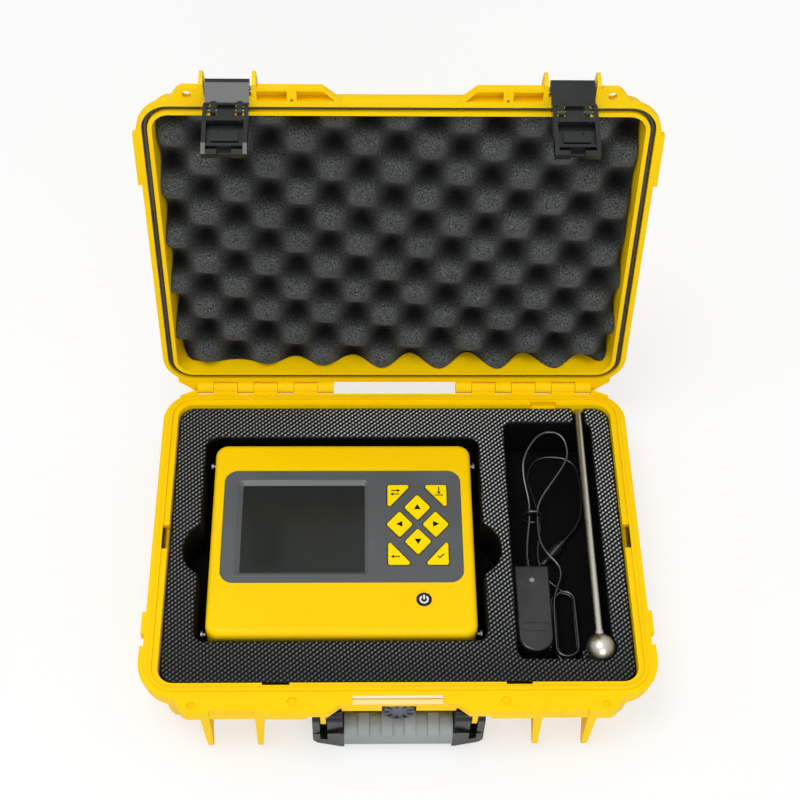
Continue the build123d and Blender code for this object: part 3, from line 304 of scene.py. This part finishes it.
# Slot by slot: clean colour, worn colour and roughness, then what differs from a plain moulding
MATERIALS = {
    "case_yellow": moulded("case_yellow", srgb(252, 209, 0), srgb(247, 203, 0), 0.42,
                           grain=0.0005, relief=0.00003, shine=0.1),
    "case_black": moulded("case_black", srgb(10, 12, 13), srgb(20, 23, 25), 0.3,
                          grain=0.0005, relief=0.00002, coat=0.05, shine=0.3),
    "grip_rubber": moulded("grip_rubber", srgb(138, 145, 144), srgb(152, 158, 157), 0.6,
                           grain=0.0004, relief=0.00003, shine=0.3),
    "latch_grey": moulded("latch_grey", srgb(16, 20, 18), srgb(30, 35, 33), 0.2,
                          grain=0.0005, relief=0.00002, coat=0.12, shine=0.4),
    "valve_grey": moulded("valve_grey", srgb(74, 80, 90), srgb(92, 98, 108), 0.34,
                          grain=0.0004, relief=0.00003, coat=0.2),
    "steel": metal("pin_steel", srgb(122, 124, 127), 0.32, 0.00001),
    "seal_rubber": moulded("seal_rubber", srgb(42, 44, 44), srgb(54, 56, 57), 0.28,
                           grain=0.0005, relief=0.00003, coat=0.3),
    "base_foam": embossed_foam(),
    "pad_foam": moulded("pad_foam", srgb(5, 6, 6), srgb(9, 10, 10), 0.85,
                        grain=0.0009, relief=0.0002, shine=0.12),
    "lid_foam": convoluted_foam(),
    "unit_yellow": moulded("unit_yellow", srgb(255, 210, 0), srgb(252, 205, 0), 0.35,
                           grain=0.00035, relief=0.00002, shine=0.12),
    "panel_grey": moulded("panel_grey", srgb(82, 86, 87), srgb(90, 94, 95), 0.38,
                          grain=0.0003, relief=0.00001),
    "screen_glass": window_glass(),
    # Painted light: the screen is set much lighter than it is, making up for the light the smoked
    # glass above it holds back
    "screen_dark": moulded("screen_dark", srgb(100, 105, 100), srgb(106, 111, 106), 0.4,
                           grain=0.0004, relief=0.00001),
    "key_yellow": moulded("key_yellow", srgb(255, 226, 0), srgb(255, 220, 0), 0.35,
                          grain=0.0003, relief=0.00001, shine=0.12),
    "mat_rubber": moulded("mat_rubber", srgb(60, 62, 62), srgb(70, 72, 72), 0.7),
    "power_silver": metal("ring_silver", srgb(72, 66, 62), 0.16),
    "power_button": moulded("button_grey", srgb(18, 18, 24), srgb(28, 28, 36), 0.25,
                            grain=0.0003, relief=0.00001, coat=0.2, shine=0.3),
    "board_green": moulded("board_green", srgb(20, 92, 48), srgb(26, 104, 56), 0.4,
                           grain=0.0004, relief=0.00002, coat=0.3),
    "battery_blue": moulded("battery_blue", srgb(34, 62, 140), srgb(44, 74, 150), 0.3,
                            relief=0.00002, coat=0.3),
    "socket_metal": metal("socket_nickel", srgb(196, 194, 188), 0.25),
    "socket_black": moulded("socket_black", srgb(26, 26, 27), srgb(34, 34, 35), 0.5),
    "impactor_steel": metal("impactor_steel", srgb(224, 221, 210), 0.34),
    "charger_black": moulded("charger_black", srgb(24, 27, 26), srgb(44, 48, 46), 0.24,
                             relief=0.00003, coat=0.25, patch=0.03),
    "charger_lamp": moulded("charger_lamp", srgb(120, 124, 130), srgb(140, 144, 150), 0.2,
                            grain=0.0003, relief=0.00001, coat=0.5),
    "lead_black": moulded("lead_black", srgb(24, 28, 28), srgb(32, 36, 36), 0.18,
                          grain=0.0005, relief=0.00001, coat=1.0, shine=0.8),
    # Painted shade for the purge valve's finger recesses
    "valve_recess": moulded("valve_recess", srgb(6, 7, 12), srgb(12, 13, 18), 0.5,
                            grain=0.0004, relief=0.00001),
    # Painted reflection: pale and cream strips for the light mirrored by the front tray's glossy
    # faces
    "pale_painted_reflection": moulded("pale_painted_reflection", srgb(253, 226, 146), srgb(250, 220, 130), 0.22,
                          grain=0.0003, relief=0.00001, coat=0.3),
    "cream_painted_reflection": moulded("cream_painted_reflection", srgb(247, 228, 196), srgb(243, 222, 184), 0.22,
                           grain=0.0003, relief=0.00001, coat=0.3),
    "mark_black": moulded("mark_black", srgb(6, 6, 7), srgb(12, 12, 13), 0.6,
                          grain=0.0003, relief=0.00001, shine=0.1),
    "mark_white": moulded("mark_white", srgb(246, 246, 250), srgb(240, 240, 244), 0.45,
                          grain=0.0003, relief=0.00001),
    # Painted shade in the rim's side notches
    "notch_painted_shade": moulded("notch_painted_shade", srgb(60, 36, 4), srgb(76, 46, 6), 0.6,
                           grain=0.0003, relief=0.00001, shine=0.1),
}


def paint(piece, material):
    piece.data.materials.clear()
    piece.data.materials.append(MATERIALS[material])


for entry in frame["record"]["subparts"]:
    paint(nodes[entry["node"]], entry["material_slot"])


# Modelling helpers
def deselect():
    bpy.ops.object.select_all(action="DESELECT")


def select_only(piece):
    deselect()
    piece.select_set(True)
    bpy.context.view_layer.objects.active = piece


def smooth_edges(piece, degrees):
    select_only(piece)
    bpy.ops.object.shade_smooth_by_angle(angle=math.radians(degrees))


def apply_modifiers(piece):
    select_only(piece)
    for modifier in list(piece.modifiers):
        bpy.ops.object.modifier_apply(modifier=modifier.name)


def finish_piece(piece, material, slot, body, *replaced):
    """Bakes the piece's place into its mesh, paints it and hands it to its body."""
    select_only(piece)
    bpy.ops.object.transform_apply(location=True, rotation=True, scale=True)
    paint(piece, material)
    if replaced:
        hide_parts(*replaced)
    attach(piece, body)


def soft_copy(node, name, voxel, rounds):
    """A foam piece from a CAD solid: the same shape with softened edges."""
    piece = bpy.data.objects.new(name, nodes[node].data.copy())
    bpy.context.collection.objects.link(piece)
    mesh = bmesh.new()
    mesh.from_mesh(piece.data)
    bmesh.ops.remove_doubles(mesh, verts=mesh.verts, dist=1e-6)
    mesh.to_mesh(piece.data)
    mesh.free()
    remesh = piece.modifiers.new("cells", "REMESH")
    remesh.mode = "VOXEL"
    remesh.voxel_size = voxel
    soften = piece.modifiers.new("soften", "SMOOTH")
    soften.factor = 0.5
    soften.iterations = rounds
    apply_modifiers(piece)
    piece.data.polygons.foreach_set("use_smooth", [True] * len(piece.data.polygons))
    return piece


# Foam in the base
INSERT_VOXEL, INSERT_ROUNDS = 0.0022, 2
PAD_VOXEL, PAD_ROUNDS = 0.004, 1
insert = soft_copy("base_foam_insert", "foam_insert", INSERT_VOXEL, INSERT_ROUNDS)
finish_piece(insert, "base_foam", "base_foam", "case_base", "base_foam_insert")
pad = soft_copy("base_foam_pad", "foam_pad", PAD_VOXEL, PAD_ROUNDS)
finish_piece(pad, "pad_foam", "base_foam", "case_base", "base_foam_pad")

# Convoluted foam in the lid: rows of peaks and pits, set a little askew, on the closed lid
FOAM_WIDTH, FOAM_HEIGHT, FOAM_CORNER = 363.6, 257.6, 12.6
FOAM_PEAK, FOAM_PIT, FOAM_BACK = 3.2, 22.0, 26.6
FOAM_STEPS = (226, 160)
WAVE_LENGTH, ROW_STEP = 49.2, 24.65
WAVE_ASKEW = math.radians(3.0)
FIRST_PIT = (49.2, -94.2)
WOBBLE, WOBBLE_LENGTH, WOBBLE_LEVEL = 1.6, 38, 3.0
LID_DRAFT = math.tan(math.radians(5.0))
BALL, BALL_HOLLOW = (155.6, -97.9, -6.0), 12.0
# How the crest attribute grows from pit to peak, and so how far the painted shade in the pits
# reaches
CREST_GAIN, CREST_START = 1.35, 0.05


def foam_depth(x, y):
    """How far behind the rim plane the foam's face lies."""
    dx, dy = x - FIRST_PIT[0], y - FIRST_PIT[1]
    along = dx * math.cos(WAVE_ASKEW) + dy * math.sin(WAVE_ASKEW)
    up = dy * math.cos(WAVE_ASKEW) - dx * math.sin(WAVE_ASKEW)
    wobble = WOBBLE * noise.noise(Vector((x, y, WOBBLE_LEVEL)) / WOBBLE_LENGTH)
    wave = (math.cos(2 * math.pi * (along + wobble) / WAVE_LENGTH)
            * math.cos(math.pi * (up + wobble) / ROW_STEP))
    depth = (FOAM_PEAK + FOAM_PIT) / 2 + (FOAM_PIT - FOAM_PEAK) / 2 * wave
    off_ball = BALL_HOLLOW ** 2 - (x - BALL[0]) ** 2 - (y - BALL[1]) ** 2
    if off_ball > 0:
        return max(depth, BALL[2] + math.sqrt(off_ball))
    return depth


def inside_outline(x, y):
    """Brings a grid point in from the corner of the rounded outline."""
    cx = FOAM_WIDTH / 2 - FOAM_CORNER
    cy = FOAM_HEIGHT / 2 - FOAM_CORNER
    dx, dy = abs(x) - cx, abs(y) - cy
    if dx > 0 and dy > 0:
        reach = max(dx, dy) / math.hypot(dx, dy)
        dx, dy = dx * reach, dy * reach
        return math.copysign(cx + dx, x), math.copysign(cy + dy, y)
    return x, y


def convoluted_sheet():
    """The foam as one closed mesh, with a crest attribute from 0 in its pits to 1 on its peaks, for
    the painted shade in its pits.
    """
    deselect()
    bpy.ops.mesh.primitive_grid_add(x_subdivisions=FOAM_STEPS[0], y_subdivisions=FOAM_STEPS[1],
                                    size=1)
    piece = bpy.context.object
    piece.name = "foam_in_lid"
    mesh = bmesh.new()
    mesh.from_mesh(piece.data)
    border = [edge for edge in mesh.edges if edge.is_boundary]
    for vert in mesh.verts:
        x, y = inside_outline(vert.co.x * FOAM_WIDTH, vert.co.y * FOAM_HEIGHT)
        depth = foam_depth(x, y)
        pull = 1 - LID_DRAFT * depth / (FOAM_HEIGHT / 2)
        vert.co = (x * pull, y * pull, depth)
    walls = bmesh.ops.extrude_edge_only(mesh, edges=border)["geom"]
    shrink = 1 - LID_DRAFT * (FOAM_BACK - FOAM_PIT) / (FOAM_HEIGHT / 2)
    for item in walls:
        if isinstance(item, bmesh.types.BMVert):
            item.co = (item.co.x * shrink, item.co.y * shrink, FOAM_BACK)
    bmesh.ops.contextual_create(mesh, geom=[edge for edge in mesh.edges if edge.is_boundary])
    bmesh.ops.recalc_face_normals(mesh, faces=mesh.faces)
    crest = mesh.verts.layers.float.new("crest")
    for vert in mesh.verts:
        rise = (FOAM_PIT - vert.co.z) / (FOAM_PIT - FOAM_PEAK)
        vert[crest] = min(1.0, max(0.0, CREST_GAIN * rise + CREST_START))
        vert.co = lid_place(*vert.co)
    mesh.to_mesh(piece.data)
    mesh.free()
    smooth_edges(piece, 50)
    return piece


lid_foam = convoluted_sheet()
finish_piece(lid_foam, "lid_foam", "lid_foam", "lid", "lid_foam")


# Lead: the loop through the ring, the wound turns and the stretch to the plug
LOOP_ROUTE = [
    (107.6, 0.0, -39.0), (107.6, 12.0, -39.0), (113.2, 48.0, -34.0), (107.5, 71.9, -26.0),
    (107.9, 90.3, -19.5), (123.2, 112.5, -15.3), (142.3, 110.7, -15.6), (147.0, 90.9, -19.5),
    (139.6, 78.2, -23.5), (119.3, 52.9, -33.0), (118.0, 38.0, -36.0), (118.3, 16.0, -36.6),
    (124.5, 4.0, -36.9), (133.0, -5.0, -38.0), (135.0, -14.5, -39.0), (130.5, -25.5, -39.2),
]
TAIL_ROUTE = [
    (128.5, -20.0, -46.8), (119.5, -9.0, -46.7), (116.5, 12.0, -46.7), (122.5, 38.0, -46.7),
    (117.0, 66.0, -46.7), (112.0, 86.0, -46.7), (121.0, 106.0, -46.7), (143.0, 108.0, -46.7),
    (157.5, 98.0, -46.6), (158.5, 64.0, -45.5), (155.5, 42.0, -44.2), (147.0, 28.8, -43.6),
    (138.3, 18.8, -43.6),
]
HANK_MIDDLE = (135.0, -58.0)
# Half width, half length and shift where each wound turn starts, and where the last one ends
HANK_TURNS = ((9.5, 32.0, 0.0, 0.0), (7.6, 27.6, 0.9, 1.8), (8.8, 30.6, -0.5, -1.2),
              (8.2, 29.4, 0.3, 0.2))
HANK_TOP, HANK_STEP = -39.3, -2.5
SWAY, SWAY_START = 0.3, 1.9
FOLD_TAN = math.tan(math.radians(22.5))
# One turn: half an octagon's corners at each end, and a point near each end of the straight sides
TURN_SHAPE = ((-FOLD_TAN, 1.0, 1), (-1.0, FOLD_TAN, 1), (-1.0, -FOLD_TAN, 1),
              (-1.0, FOLD_TAN, -1), (-1.0, -FOLD_TAN, -1), (-FOLD_TAN, -1.0, -1),
              (FOLD_TAN, -1.0, -1), (1.0, -FOLD_TAN, -1), (1.0, FOLD_TAN, -1),
              (1.0, -FOLD_TAN, 1), (1.0, FOLD_TAN, 1), (FOLD_TAN, 1.0, 1))
FIRST_CORNER = 2                    # the lead joins the first turn at its straight side


def hank_points():
    """The wound turns, each going over into the size and place of the next."""
    points = []
    for turn, (start, end) in enumerate(zip(HANK_TURNS, HANK_TURNS[1:])):
        for step, (across, along, side) in enumerate(TURN_SHAPE):
            part = step / len(TURN_SHAPE)
            half_width, half_length, shift_x, shift_y = (
                a + (b - a) * part for a, b in zip(start, end))
            sway = SWAY * math.sin(4.0 * math.pi * part + SWAY_START * turn)
            x = HANK_MIDDLE[0] + shift_x + sway + half_width * across
            y = (HANK_MIDDLE[1] + shift_y + half_width * along
                 + (half_length - half_width) * side)
            points.append((x, y, HANK_TOP + HANK_STEP * (turn + part)))
    return points[FIRST_CORNER:]


def lead_curve():
    curve = bpy.data.curves.new("charger_lead", "CURVE")
    curve.dimensions = "3D"
    spline = curve.splines.new("NURBS")
    route = LOOP_ROUTE + hank_points() + TAIL_ROUTE
    spline.points.add(len(route) - 1)
    for point, where in zip(spline.points, route):
        point.co = (*place(*where), 1.0)
    spline.order_u = 3
    spline.use_endpoint_u = True
    spline.resolution_u = 8
    curve.bevel_depth = LEAD_DIAMETER / 2000
    curve.bevel_resolution = 4
    curve.use_fill_caps = True
    piece = bpy.data.objects.new("charger_lead", curve)
    bpy.context.collection.objects.link(piece)
    return piece


lead = lead_curve()
lead.data.materials.append(MATERIALS["lead_black"])
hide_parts("charger_lead_tube", "charger_lead_hank", "charger_lead_tail")
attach(lead, "case_base")


# Thin plates cut from flat curves, in millimetres
MARK_THICK, MARK_RISE = 0.06, 0.01


def flat_piece(name, outlines, where, thickness=MARK_THICK, rounding=0.0, turn=(0.0, 0.0, 0.0)):
    """A plate from closed outlines, an outline inside another being a hole; where is its middle."""
    curve = bpy.data.curves.new(name, "CURVE")
    curve.dimensions = "2D"
    curve.fill_mode = "BOTH"
    for points in outlines:
        spline = curve.splines.new("POLY")
        spline.points.add(len(points) - 1)
        for point, (x, y) in zip(spline.points, points):
            point.co = (x, y, 0.0, 1.0)
        spline.use_cyclic_u = True
    curve.extrude = thickness / 2 - rounding
    curve.bevel_depth = rounding
    curve.bevel_resolution = 2
    curve.offset = -rounding
    piece = bpy.data.objects.new(name, curve)
    bpy.context.collection.objects.link(piece)
    piece.location = place(*where)
    piece.rotation_euler = turn
    piece.scale = (0.001, 0.001, 0.001)
    select_only(piece)
    bpy.ops.object.convert(target="MESH")
    piece = bpy.context.object
    bpy.ops.object.mode_set(mode="EDIT")
    bpy.ops.mesh.select_all(action="SELECT")
    bpy.ops.mesh.remove_doubles(threshold=0.001)
    bpy.ops.mesh.normals_make_consistent(inside=False)
    bpy.ops.object.mode_set(mode="OBJECT")
    return piece


def turned(points, degrees):
    c, s = math.cos(math.radians(degrees)), math.sin(math.radians(degrees))
    return [(px * c - py * s, px * s + py * c) for px, py in points]


def moved(points, dx, dy):
    return [(px + dx, py + dy) for px, py in points]


def bar(x0, x1, y0, y1):
    return [(x0, y0), (x1, y0), (x1, y1), (x0, y1)]


def arc(radius, start=0, end=360, steps=48):
    """Points along an arc; a whole circle leaves out its last point."""
    count = steps if end - start == 360 else steps + 1
    angles = [math.radians(start + (end - start) * i / steps) for i in range(count)]
    return [(radius * math.cos(angle), radius * math.sin(angle)) for angle in angles]


# Printed marks on the keys and the power button
TRIANGLE = [(-2.7, -2.2), (2.7, -2.2), (0.0, 2.9)]
ARROW = [(-3.2, -0.45), (1.6, -0.45), (1.6, -1.6), (4.0, 0.0), (1.6, 1.6), (1.6, 0.45),
         (-3.2, 0.45)]
TICK = [(-2.8, 0.0), (-2.1, 0.7), (-0.9, -0.5), (2.3, 2.7), (3.0, 2.0), (-0.9, -1.9)]
# Each key's side of the keypad in X and Y, and the outlines of its mark
KEY_MARKS = {
    "key_up": (0, 1, [turned(TRIANGLE, 0)]),
    "key_down": (0, -1, [turned(TRIANGLE, 180)]),
    "key_left": (-1, 0, [turned(TRIANGLE, 90)]),
    "key_right": (1, 0, [turned(TRIANGLE, -90)]),
    "key_switch": (-1, 1, [moved(ARROW, 0, 1.7), moved(turned(ARROW, 180), 0, -1.7)]),
    "key_store": (1, 1, [bar(-3.2, 3.2, -3.2, -2.3), moved(turned(ARROW, -90), 0, 2.1)]),
    "key_back": (-1, -1, [turned(ARROW, 180)]),
    "key_confirm": (1, -1, [TICK]),
}
CORNER_MARK_IN = (6.2, 7.2)         # from a corner key's outer corner to its mark
for name, (side_x, side_y, outlines) in KEY_MARKS.items():
    if side_x and side_y:
        off_x, off_y = CORNER_KEY[0] - CORNER_MARK_IN[0], CORNER_KEY[1] - CORNER_MARK_IN[1]
    else:
        off_x, off_y = KEY_STEP
    mark = flat_piece("mark_" + name, outlines, (
        KEYPAD[0] + side_x * off_x, KEYPAD[1] + side_y * off_y, KEY_TOP + MARK_RISE))
    finish_piece(mark, "mark_black", "key_yellow", name)

POWER_MARK_OUTER, POWER_MARK_INNER, POWER_MARK_ENDS = 3.6, 2.35, (122, 418)
POWER_MARK_STROKE = bar(-0.55, 0.55, 0.0, 4.1)
open_ring = arc(POWER_MARK_OUTER, *POWER_MARK_ENDS) + arc(POWER_MARK_INNER, *POWER_MARK_ENDS)[::-1]
power_mark = flat_piece("mark_power", [open_ring, POWER_MARK_STROKE],
                        (*POWER, BUTTON_TOP + MARK_RISE))
finish_piece(power_mark, "mark_white", "power_button", "power_button")

# Moulded collar over the outer part of the button's ring
COLLAR_OUTER, COLLAR_INNER, COLLAR_SUNK = 8.0, 6.1, 0.12
COLLAR_THICK, COLLAR_ROUNDING = 0.5, 0.18
collar = flat_piece("power_collar", [arc(COLLAR_OUTER), arc(COLLAR_INNER)],
                    (*POWER, RING_TOP - COLLAR_SUNK), COLLAR_THICK, COLLAR_ROUNDING)
smooth_edges(collar, 40)
finish_piece(collar, "unit_yellow", "unit_yellow", "case_base")


# Painted shade round each key: a dark ring on the panel where the gap round the key lies in shadow
def rounded(corners, radius, steps=5):
    """Points round a convex outline, anticlockwise, with its corners rounded."""
    points = []
    for i, corner in enumerate(corners):
        corner = Vector(corner)
        back = (Vector(corners[i - 1]) - corner).normalized()
        ahead = (Vector(corners[(i + 1) % len(corners)]) - corner).normalized()
        half = back.angle(ahead) / 2
        middle = corner + (back + ahead).normalized() * radius / math.sin(half)
        facing = math.atan2(*reversed(corner - middle))
        sweep = math.pi / 2 - half
        for step in range(steps + 1):
            angle = facing - sweep + 2 * sweep * step / steps
            points.append((middle.x + radius * math.cos(angle),
                           middle.y + radius * math.sin(angle)))
    return points


def grown(corners, amount):
    """A convex outline, anticlockwise, with every side moved out."""
    wider = []
    for i, corner in enumerate(corners):
        corner = Vector(corner)
        back = (corner - Vector(corners[i - 1])).normalized()
        ahead = (Vector(corners[(i + 1) % len(corners)]) - corner).normalized()
        out_ahead = Vector((ahead.y, -ahead.x))
        outward = (Vector((back.y, -back.x)) + out_ahead).normalized()
        wider.append(tuple(corner + outward * amount / outward.dot(out_ahead)))
    return wider


def key_corners():
    """The eight keys' outlines, anticlockwise, from the middle of the keypad."""
    half_x, half_y = KEY_HALF
    diamond = [(half_x, 0), (0, half_y), (-half_x, 0), (0, -half_y)]
    outlines = []
    for side_x, side_y, _ in KEY_MARKS.values():
        if side_x and side_y:
            x, y = side_x * CORNER_KEY[0], side_y * CORNER_KEY[1]
            wedge = [(x, y), (x - side_x * CORNER_KEY_SIDE[0], y),
                     (x, y - side_y * CORNER_KEY_SIDE[1])]
            outlines.append(wedge if side_x * side_y > 0 else wedge[::-1])
        else:
            outlines.append(moved(diamond, side_x * KEY_STEP[0], side_y * KEY_STEP[1]))
    return outlines


# Painted shade: a dark ring just outside each key's slit
KEY_SLIT, GAP_SHADE_WIDTH = 0.3, 0.55
key_gap_shade = [rounded(grown(corners, spread), KEY_ROUND + spread)
             for corners in key_corners() for spread in (KEY_SLIT, KEY_SLIT + GAP_SHADE_WIDTH)]
edges = flat_piece("key_gap_shade", key_gap_shade, (*KEYPAD, PANEL_TOP + MARK_RISE))
finish_piece(edges, "mark_black", "panel_grey", "case_base")

# Painted shade of the finger recesses round the face of the purge valve: flat near-black ovals on
# its face
RECESS_COUNT, RECESS_RING, RECESS_LONG, RECESS_WIDE = 9, 8.9, 2.7, 1.5
oval = [(x * RECESS_LONG, y * RECESS_WIDE) for x, y in arc(1.0, steps=16)]
recesses = [turned(moved(oval, RECESS_RING, 0.0), 360 / RECESS_COUNT * (i + 0.5))
            for i in range(RECESS_COUNT)]
valve_recess_shade = flat_piece("valve_recesses", recesses, (0.0, VALVE_FACE - MARK_RISE, VALVE_HEIGHT),
                         turn=(UPRIGHT, 0.0, 0.0))
finish_piece(valve_recess_shade, "valve_recess", "valve_grey", "valve_knob")

# Strips of painted reflection in the long tray of the front ledge, pale and cream where its glossy
# faces mirror the light: the rear one stays below the closed lid
STRIP_LEFT, STRIP_RIGHT, STRIP_ROUNDING = -34.9, 33.0, 0.05
for name, material, front, rear, middle, thickness in (
        ("tray_reflection_front", "pale_painted_reflection", -147.4, -143.6, 0.05, 0.14),
        ("tray_reflection_rear", "cream_painted_reflection", -142.3, -139.9, -0.72, 1.0)):
    strip = flat_piece(name, [bar(STRIP_LEFT, STRIP_RIGHT, front, rear)], (0.0, 0.0, middle),
                       thickness, STRIP_ROUNDING)
    finish_piece(strip, material, "case_yellow", "case_base")

# Painted shade in the small notches at both sides of the rim: dark brown plates on two upright
# faces and on the floor
NOTCH_Y, NOTCH_HALF = -0.9, 10.7
NOTCH_FACES = (("wall", 187.0, -3.2, -0.5), ("step", 185.2, -7.9, -3.4))
NOTCH_FLOOR_X, NOTCH_FLOOR_HALF, NOTCH_FLOOR_Z = 186.1, 0.8, -3.3
for label, side in (("left", -1), ("right", 1)):
    for part, out, low, high in NOTCH_FACES:
        shade_plate = flat_piece("notch_%s_%s" % (part, label), [bar(-NOTCH_HALF, NOTCH_HALF, low, high)],
                           (side * (out - MARK_RISE), NOTCH_Y, 0.0), turn=(UPRIGHT, 0.0, UPRIGHT))
        finish_piece(shade_plate, "notch_painted_shade", "case_yellow", "case_base")
    shade_plate = flat_piece("notch_floor_" + label,
                       [bar(-NOTCH_FLOOR_HALF, NOTCH_FLOOR_HALF, -NOTCH_HALF, NOTCH_HALF)],
                       (side * NOTCH_FLOOR_X, NOTCH_Y, NOTCH_FLOOR_Z + MARK_RISE))
    finish_piece(shade_plate, "notch_painted_shade", "case_yellow", "case_base")

# Raised pads that run over the upper front edge of the grip, cut from their side outline
GRIP_PADS, GRIP_PAD_STEP, GRIP_PAD_WIDTH, GRIP_PAD_ROUNDING = 4, 17.7, 8.8, 0.7
GRIP_PAD_SUNK, GRIP_PAD_PROUD, GRIP_PAD_REAR = -0.6, 2.2, 5.6
GRIP_PAD_TURN = range(0, 64, 9)     # degrees from the top of the grip towards its front


def grip_line(spread):
    """Points over the grip's upper front edge, front and height, moved out from its section."""
    inner_y, inner_z = GRIP_HALF_DEEP - GRIP_ROUND, GRIP_HALF_TALL - GRIP_ROUND
    reach = GRIP_ROUND + spread
    line = [(GRIP_PAD_REAR, inner_z + reach)]
    for degrees in GRIP_PAD_TURN:
        angle = math.radians(degrees)
        line.append((-inner_y - reach * math.sin(angle), inner_z + reach * math.cos(angle)))
    return moved(line, 0.0, -GRIP_DROP)


# Stood on edge across the handle, then leaned with it
pad_turn = (Matrix.Rotation(math.radians(HANDLE_LEAN), 3, "X") @ Matrix.Rotation(UPRIGHT, 3, "Z")
            @ Matrix.Rotation(UPRIGHT, 3, "X")).to_euler()
for i in range(GRIP_PADS):
    piece = flat_piece("grip_pad_%d" % (i + 1),
                       [grip_line(GRIP_PAD_PROUD) + grip_line(GRIP_PAD_SUNK)[::-1]],
                       ((i - (GRIP_PADS - 1) / 2) * GRIP_PAD_STEP, *HANDLE_PIVOT),
                       GRIP_PAD_WIDTH, GRIP_PAD_ROUNDING, pad_turn)
    smooth_edges(piece, 40)
    finish_piece(piece, "grip_rubber", "grip_rubber", "handle")


# Studio: floor, world, lights and camera
WHITE = (1.0, 1.0, 1.0, 1.0)
FLOOR_SIZE, FLOOR_GLOW = 12.0, 0.62     # the glow is the share of plain white the camera sees
# Strength of the world's light at the horizon and near the top
WORLD_LOW, WORLD_HIGH, WORLD_TOP = 0.26, 0.84, 0.9
# Name, place, aim, size and power of each area light
LIGHTS = (("key_light", (-0.5, -0.3, 2.2), (0.0, 0.0, 0.1), 1.0, 16.0),
          ("front_light", (0.4, -2.0, 1.1), (0.0, 0.05, 0.1), 1.4, 13.0))


def white_floor():
    deselect()
    bpy.ops.mesh.primitive_plane_add(size=FLOOR_SIZE, location=(0, 0, 0))
    floor = bpy.context.object
    floor.name = "floor"
    material, tree, shader = new_material("floor_white", {"Roughness": 0.9})
    drift = add(tree, "ShaderNodeTexNoise", {"Vector": object_coords(tree), "Scale": 3.0})
    colour = mix_colour(tree, drift.outputs["Fac"], (0.93, 0.93, 0.93, 1), (0.95, 0.95, 0.95, 1))
    tree.links.new(colour, shader.inputs["Base Color"])
    glow = add(tree, "ShaderNodeEmission", {"Color": WHITE, "Strength": 1.0})
    seen = add(tree, "ShaderNodeLightPath").outputs["Is Camera Ray"]
    share = math_node(tree, "MULTIPLY", seen, FLOOR_GLOW)
    blend = add(tree, "ShaderNodeMixShader", {0: share, 1: shader.outputs[0], 2: glow.outputs[0]})
    tree.links.new(blend.outputs[0], tree.nodes["Material Output"].inputs["Surface"])
    floor.data.materials.append(material)


def studio_world():
    """Soft light, brighter overhead than at the horizon, before a plain white ground."""
    world = bpy.data.worlds.new("studio")
    world.use_nodes = True
    tree = world.node_tree
    generated = add(tree, "ShaderNodeTexCoord").outputs["Generated"]
    height = add(tree, "ShaderNodeSeparateXYZ", {"Vector": generated}).outputs["Z"]
    strength = map_range(tree, height, 0.0, WORLD_TOP, WORLD_LOW, WORLD_HIGH)
    light = tree.nodes["Background"]
    light.inputs["Color"].default_value = WHITE
    tree.links.new(strength, light.inputs["Strength"])
    ground = add(tree, "ShaderNodeBackground", {"Color": WHITE, "Strength": 1.0})
    path = add(tree, "ShaderNodeLightPath")
    seen = math_node(tree, "MAXIMUM", path.outputs["Is Camera Ray"],
                     path.outputs["Is Transmission Ray"])
    switch = add(tree, "ShaderNodeMixShader", {0: seen, 1: light.outputs[0], 2: ground.outputs[0]})
    tree.links.new(switch.outputs[0], tree.nodes["World Output"].inputs[0])
    bpy.context.scene.world = world


def studio_lights():
    for name, where, aim, size, power in LIGHTS:
        lamp = bpy.data.lights.new(name, "AREA")
        lamp.size = size
        lamp.energy = power
        holder = bpy.data.objects.new(name, lamp)
        holder.location = where
        holder.rotation_euler = (Vector(aim) - Vector(where)).to_track_quat("-Z", "Y").to_euler()
        bpy.context.collection.objects.link(holder)


CAMERA_PLACE = (-27.2, -670.4, 1092.4)
CAMERA_DOWN, CAMERA_RIGHT, CAMERA_ROLL = 53.607, 2.247, 1.807
FOCAL_PIXELS, PICTURE_PIXELS, SENSOR = 1597.8, 800, 36.0


def photo_camera():
    data = bpy.data.cameras.new("photo_camera")
    data.sensor_width = SENSOR
    data.lens = FOCAL_PIXELS / PICTURE_PIXELS * SENSOR
    data.clip_start = 0.01
    camera = bpy.data.objects.new("photo_camera", data)
    turn = (Matrix.Rotation(math.radians(-CAMERA_RIGHT), 4, "Z")
            @ Matrix.Rotation(math.radians(90 - CAMERA_DOWN), 4, "X")
            @ Matrix.Rotation(math.radians(CAMERA_ROLL), 4, "Z"))
    camera.matrix_world = Matrix.Translation(place(*CAMERA_PLACE)) @ turn
    bpy.context.collection.objects.link(camera)
    bpy.context.scene.camera = camera


white_floor()
studio_world()
studio_lights()
photo_camera()
bpy.context.scene.view_settings.view_transform = "Standard"
